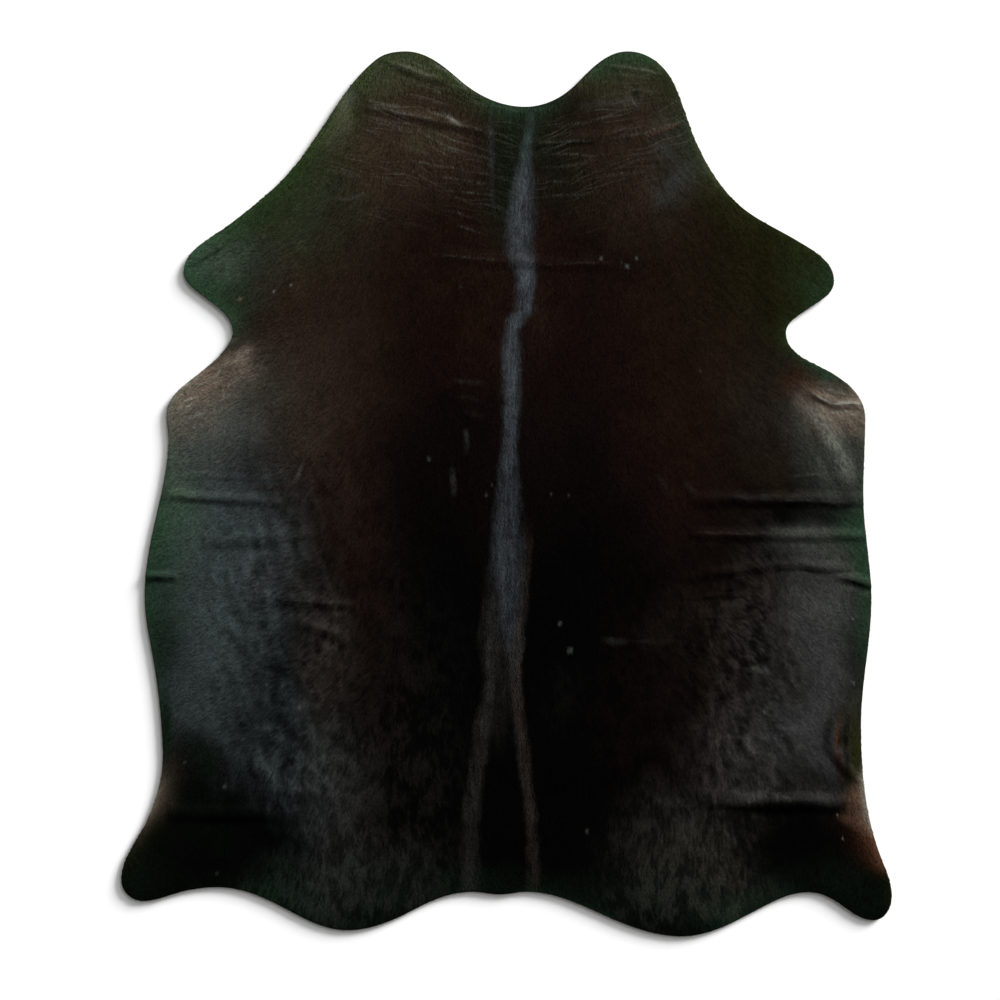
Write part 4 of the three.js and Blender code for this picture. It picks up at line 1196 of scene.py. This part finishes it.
# The locks are set down on the coat from this height, and look this far down for it.
DROP_FROM = 0.1
DROP_DEPTH = 0.2
# Each quarter draws its own chances.
ROOTS_SEED = 7
SEEDS_PER_QUARTER = 10


def lock_tree():
    """Puts a lock on each root, turned its own way, and rests them all on the coat."""
    tree = new_group("locks of hair", "GeometryNodeTree", {
        "Roots": "Geometry", "Coat": "Object", "Length": "Float", "Width": "Float", "Rise": "Float",
        "Unevenness": "Float", "Seed": "Int", "Hair": "Material"}, {"Locks": "Geometry"})
    maths = maths_in(tree)
    given = add_node(tree, "NodeGroupInput").outputs

    def kept(name):
        return add_node(tree, "GeometryNodeInputNamedAttribute", {"Name": name}).outputs["Attribute"]

    def uneven(seed_step):
        most = given["Unevenness"]
        seed = maths("ADD", given["Seed"], seed_step)
        chance = add_node(tree, "FunctionNodeRandomValue", {
            2: maths("SUBTRACT", 1.0, most), 3: maths("ADD", 1.0, most), "Seed": seed})
        return chance.outputs[1]

    place = add_node(tree, "GeometryNodeInputPosition").outputs["Position"]
    x, y, z = add_node(tree, "ShaderNodeSeparateXYZ", {"Vector": place}).outputs

    kite = add_node(tree, "GeometryNodeMeshCircle", {"Vertices": 4, "Radius": 1.0}, fill_type="NGON")
    from_root = maths("MULTIPLY_ADD", x, 0.5, 0.5)
    arch = maths("SINE", maths("MULTIPLY", from_root, ARCH_AT_TIP))
    shaped = add_node(tree, "ShaderNodeCombineXYZ", {
        "X": maths("MULTIPLY", from_root, given["Length"]),
        "Y": maths("MULTIPLY", y, maths("MULTIPLY", given["Width"], 0.5)),
        "Z": maths("MULTIPLY", arch, given["Rise"])})
    lock = add_node(tree, "GeometryNodeSetPosition", {
        "Geometry": kite.outputs["Mesh"], "Position": shaped.outputs["Vector"]})
    folded = add_node(tree, "GeometryNodeTriangulate", {
        "Mesh": lock.outputs["Geometry"]}, quad_method="FIXED_ALTERNATE")

    turned = add_node(tree, "ShaderNodeCombineXYZ", {"Z": kept("hair_way")})
    size = add_node(tree, "ShaderNodeCombineXYZ", {
        "X": maths("MULTIPLY", kept("hair_reach"), uneven(1)), "Y": uneven(2), "Z": uneven(3)})
    planted = add_node(tree, "GeometryNodeInstanceOnPoints", {
        "Points": given["Roots"], "Instance": folded.outputs["Mesh"],
        "Rotation": turned.outputs["Vector"], "Scale": size.outputs["Vector"]})
    toned = add_node(tree, "GeometryNodeStoreNamedAttribute", {
        "Geometry": planted.outputs["Instances"], "Name": "hair_tone", "Value": uneven(4)},
        domain="INSTANCE")
    joined = add_node(tree, "GeometryNodeRealizeInstances", {"Geometry": toned.outputs["Geometry"]})

    surface = add_node(tree, "GeometryNodeObjectInfo", {"Object": given["Coat"]})
    above = add_node(tree, "ShaderNodeCombineXYZ", {"X": x, "Y": y, "Z": DROP_FROM})
    below = add_node(tree, "GeometryNodeRaycast", {
        "Target Geometry": surface.outputs["Geometry"], "Source Position": above.outputs["Vector"],
        "Ray Direction": (0, 0, -1), "Ray Length": DROP_DEPTH})
    found = add_node(tree, "ShaderNodeSeparateXYZ", {"Vector": below.outputs["Hit Position"]})
    ground = add_node(tree, "GeometryNodeSwitch", {
        "Switch": below.outputs["Is Hit"], "False": LEATHER, "True": found.outputs["Z"]},
        input_type="FLOAT")
    resting = add_node(tree, "ShaderNodeCombineXYZ", {
        "X": x, "Y": y, "Z": maths("ADD", z, ground.outputs["Output"])})
    laid = add_node(tree, "GeometryNodeSetPosition", {
        "Geometry": joined.outputs["Geometry"], "Position": resting.outputs["Vector"]})
    smooth = add_node(tree, "GeometryNodeSetShadeSmooth", {"Geometry": laid.outputs["Geometry"]})
    dressed = add_node(tree, "GeometryNodeSetMaterial", {
        "Geometry": smooth.outputs["Geometry"], "Material": given["Hair"]})
    add_node(tree, "NodeGroupOutput", {"Locks": dressed.outputs["Geometry"]})
    return tree


def lock_roots():
    """Where the locks grow: staggered rows, each root moved a little, all inside the edge."""
    chance = np.random.default_rng(ROOTS_SEED)
    x, y, _, _ = staggered_rows(LOCK_STEP)
    x = x + LOCK_STEP * chance.uniform(-ROOT_STRAYS, ROOT_STRAYS, len(x))
    y = y + LOCK_STEP * chance.uniform(-ROOT_STRAYS, ROOT_STRAYS, len(y))
    depth = depth_in(x, y)
    x, y, depth = x[depth > 0], y[depth > 0], depth[depth > 0]
    way = hair_way(x, y) + np.radians(chance.normal(0, LOCK_TURN, len(x)))
    longest = LOCK_LENGTH * (1 + LOCK_UNEVEN)
    tip_depth = depth_in(x + longest * np.cos(way), y + longest * np.sin(way))
    room = (depth + LOCK_PAST_EDGE) / np.maximum(depth - tip_depth, 1e-6)
    reach = np.where(tip_depth < -LOCK_PAST_EDGE, np.clip(room, LOCK_SHORTEST, 1), 1)
    return x, y, depth, way, reach


def locks_piece(name, seed, chosen):
    """One quarter's locks, from its own roots, as a plain mesh."""
    points = bpy.data.meshes.new(name)
    flat = np.column_stack([root_x, root_y, np.zeros_like(root_x)])[chosen]
    points.from_pydata(flat.tolist(), [], [])
    store(points, "hair_way", root_way[chosen])
    store(points, "hair_reach", root_reach[chosen])
    piece = add_object(name, points)
    growth = piece.modifiers.new("locks of hair", "NODES")
    growth.node_group = lock_group
    inputs = {
        "Coat": coat, "Length": LOCK_LENGTH, "Width": LOCK_WIDTH, "Rise": LOCK_RISE,
        "Unevenness": LOCK_UNEVEN, "Seed": seed, "Hair": lock_hair}
    for socket in lock_group.interface.items_tree:
        if socket.name in inputs:
            growth[socket.identifier] = inputs[socket.name]
    apply_modifiers(piece)
    x, y, _ = corners_of(piece.data).T
    depth = np.repeat(root_depth[chosen], len(x) // chosen.sum())
    store(piece.data, "hair_tint", hair_tint(x, y, depth))
    store(piece.data, "hair_wear", neck_wear_and_highlight(x, y))
    add_flat_map(piece.data)
    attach(piece, "root")
    return piece


lock_group = lock_tree()
lock_hair = hair_material("hair in locks", LOCK_FIBRES_PER_METRE, LOCK_FIBRE_RELIEF)
root_x, root_y, root_depth, root_way, root_reach = lock_roots()
quarters = np.digitize(root_y, np.quantile(root_y, [0.25, 0.5, 0.75]))
locks = [
    locks_piece(name, SEEDS_PER_QUARTER * number, quarters == number)
    for number, name in enumerate(("hair_rump", "hair_belly", "hair_chest", "hair_neck"))
]
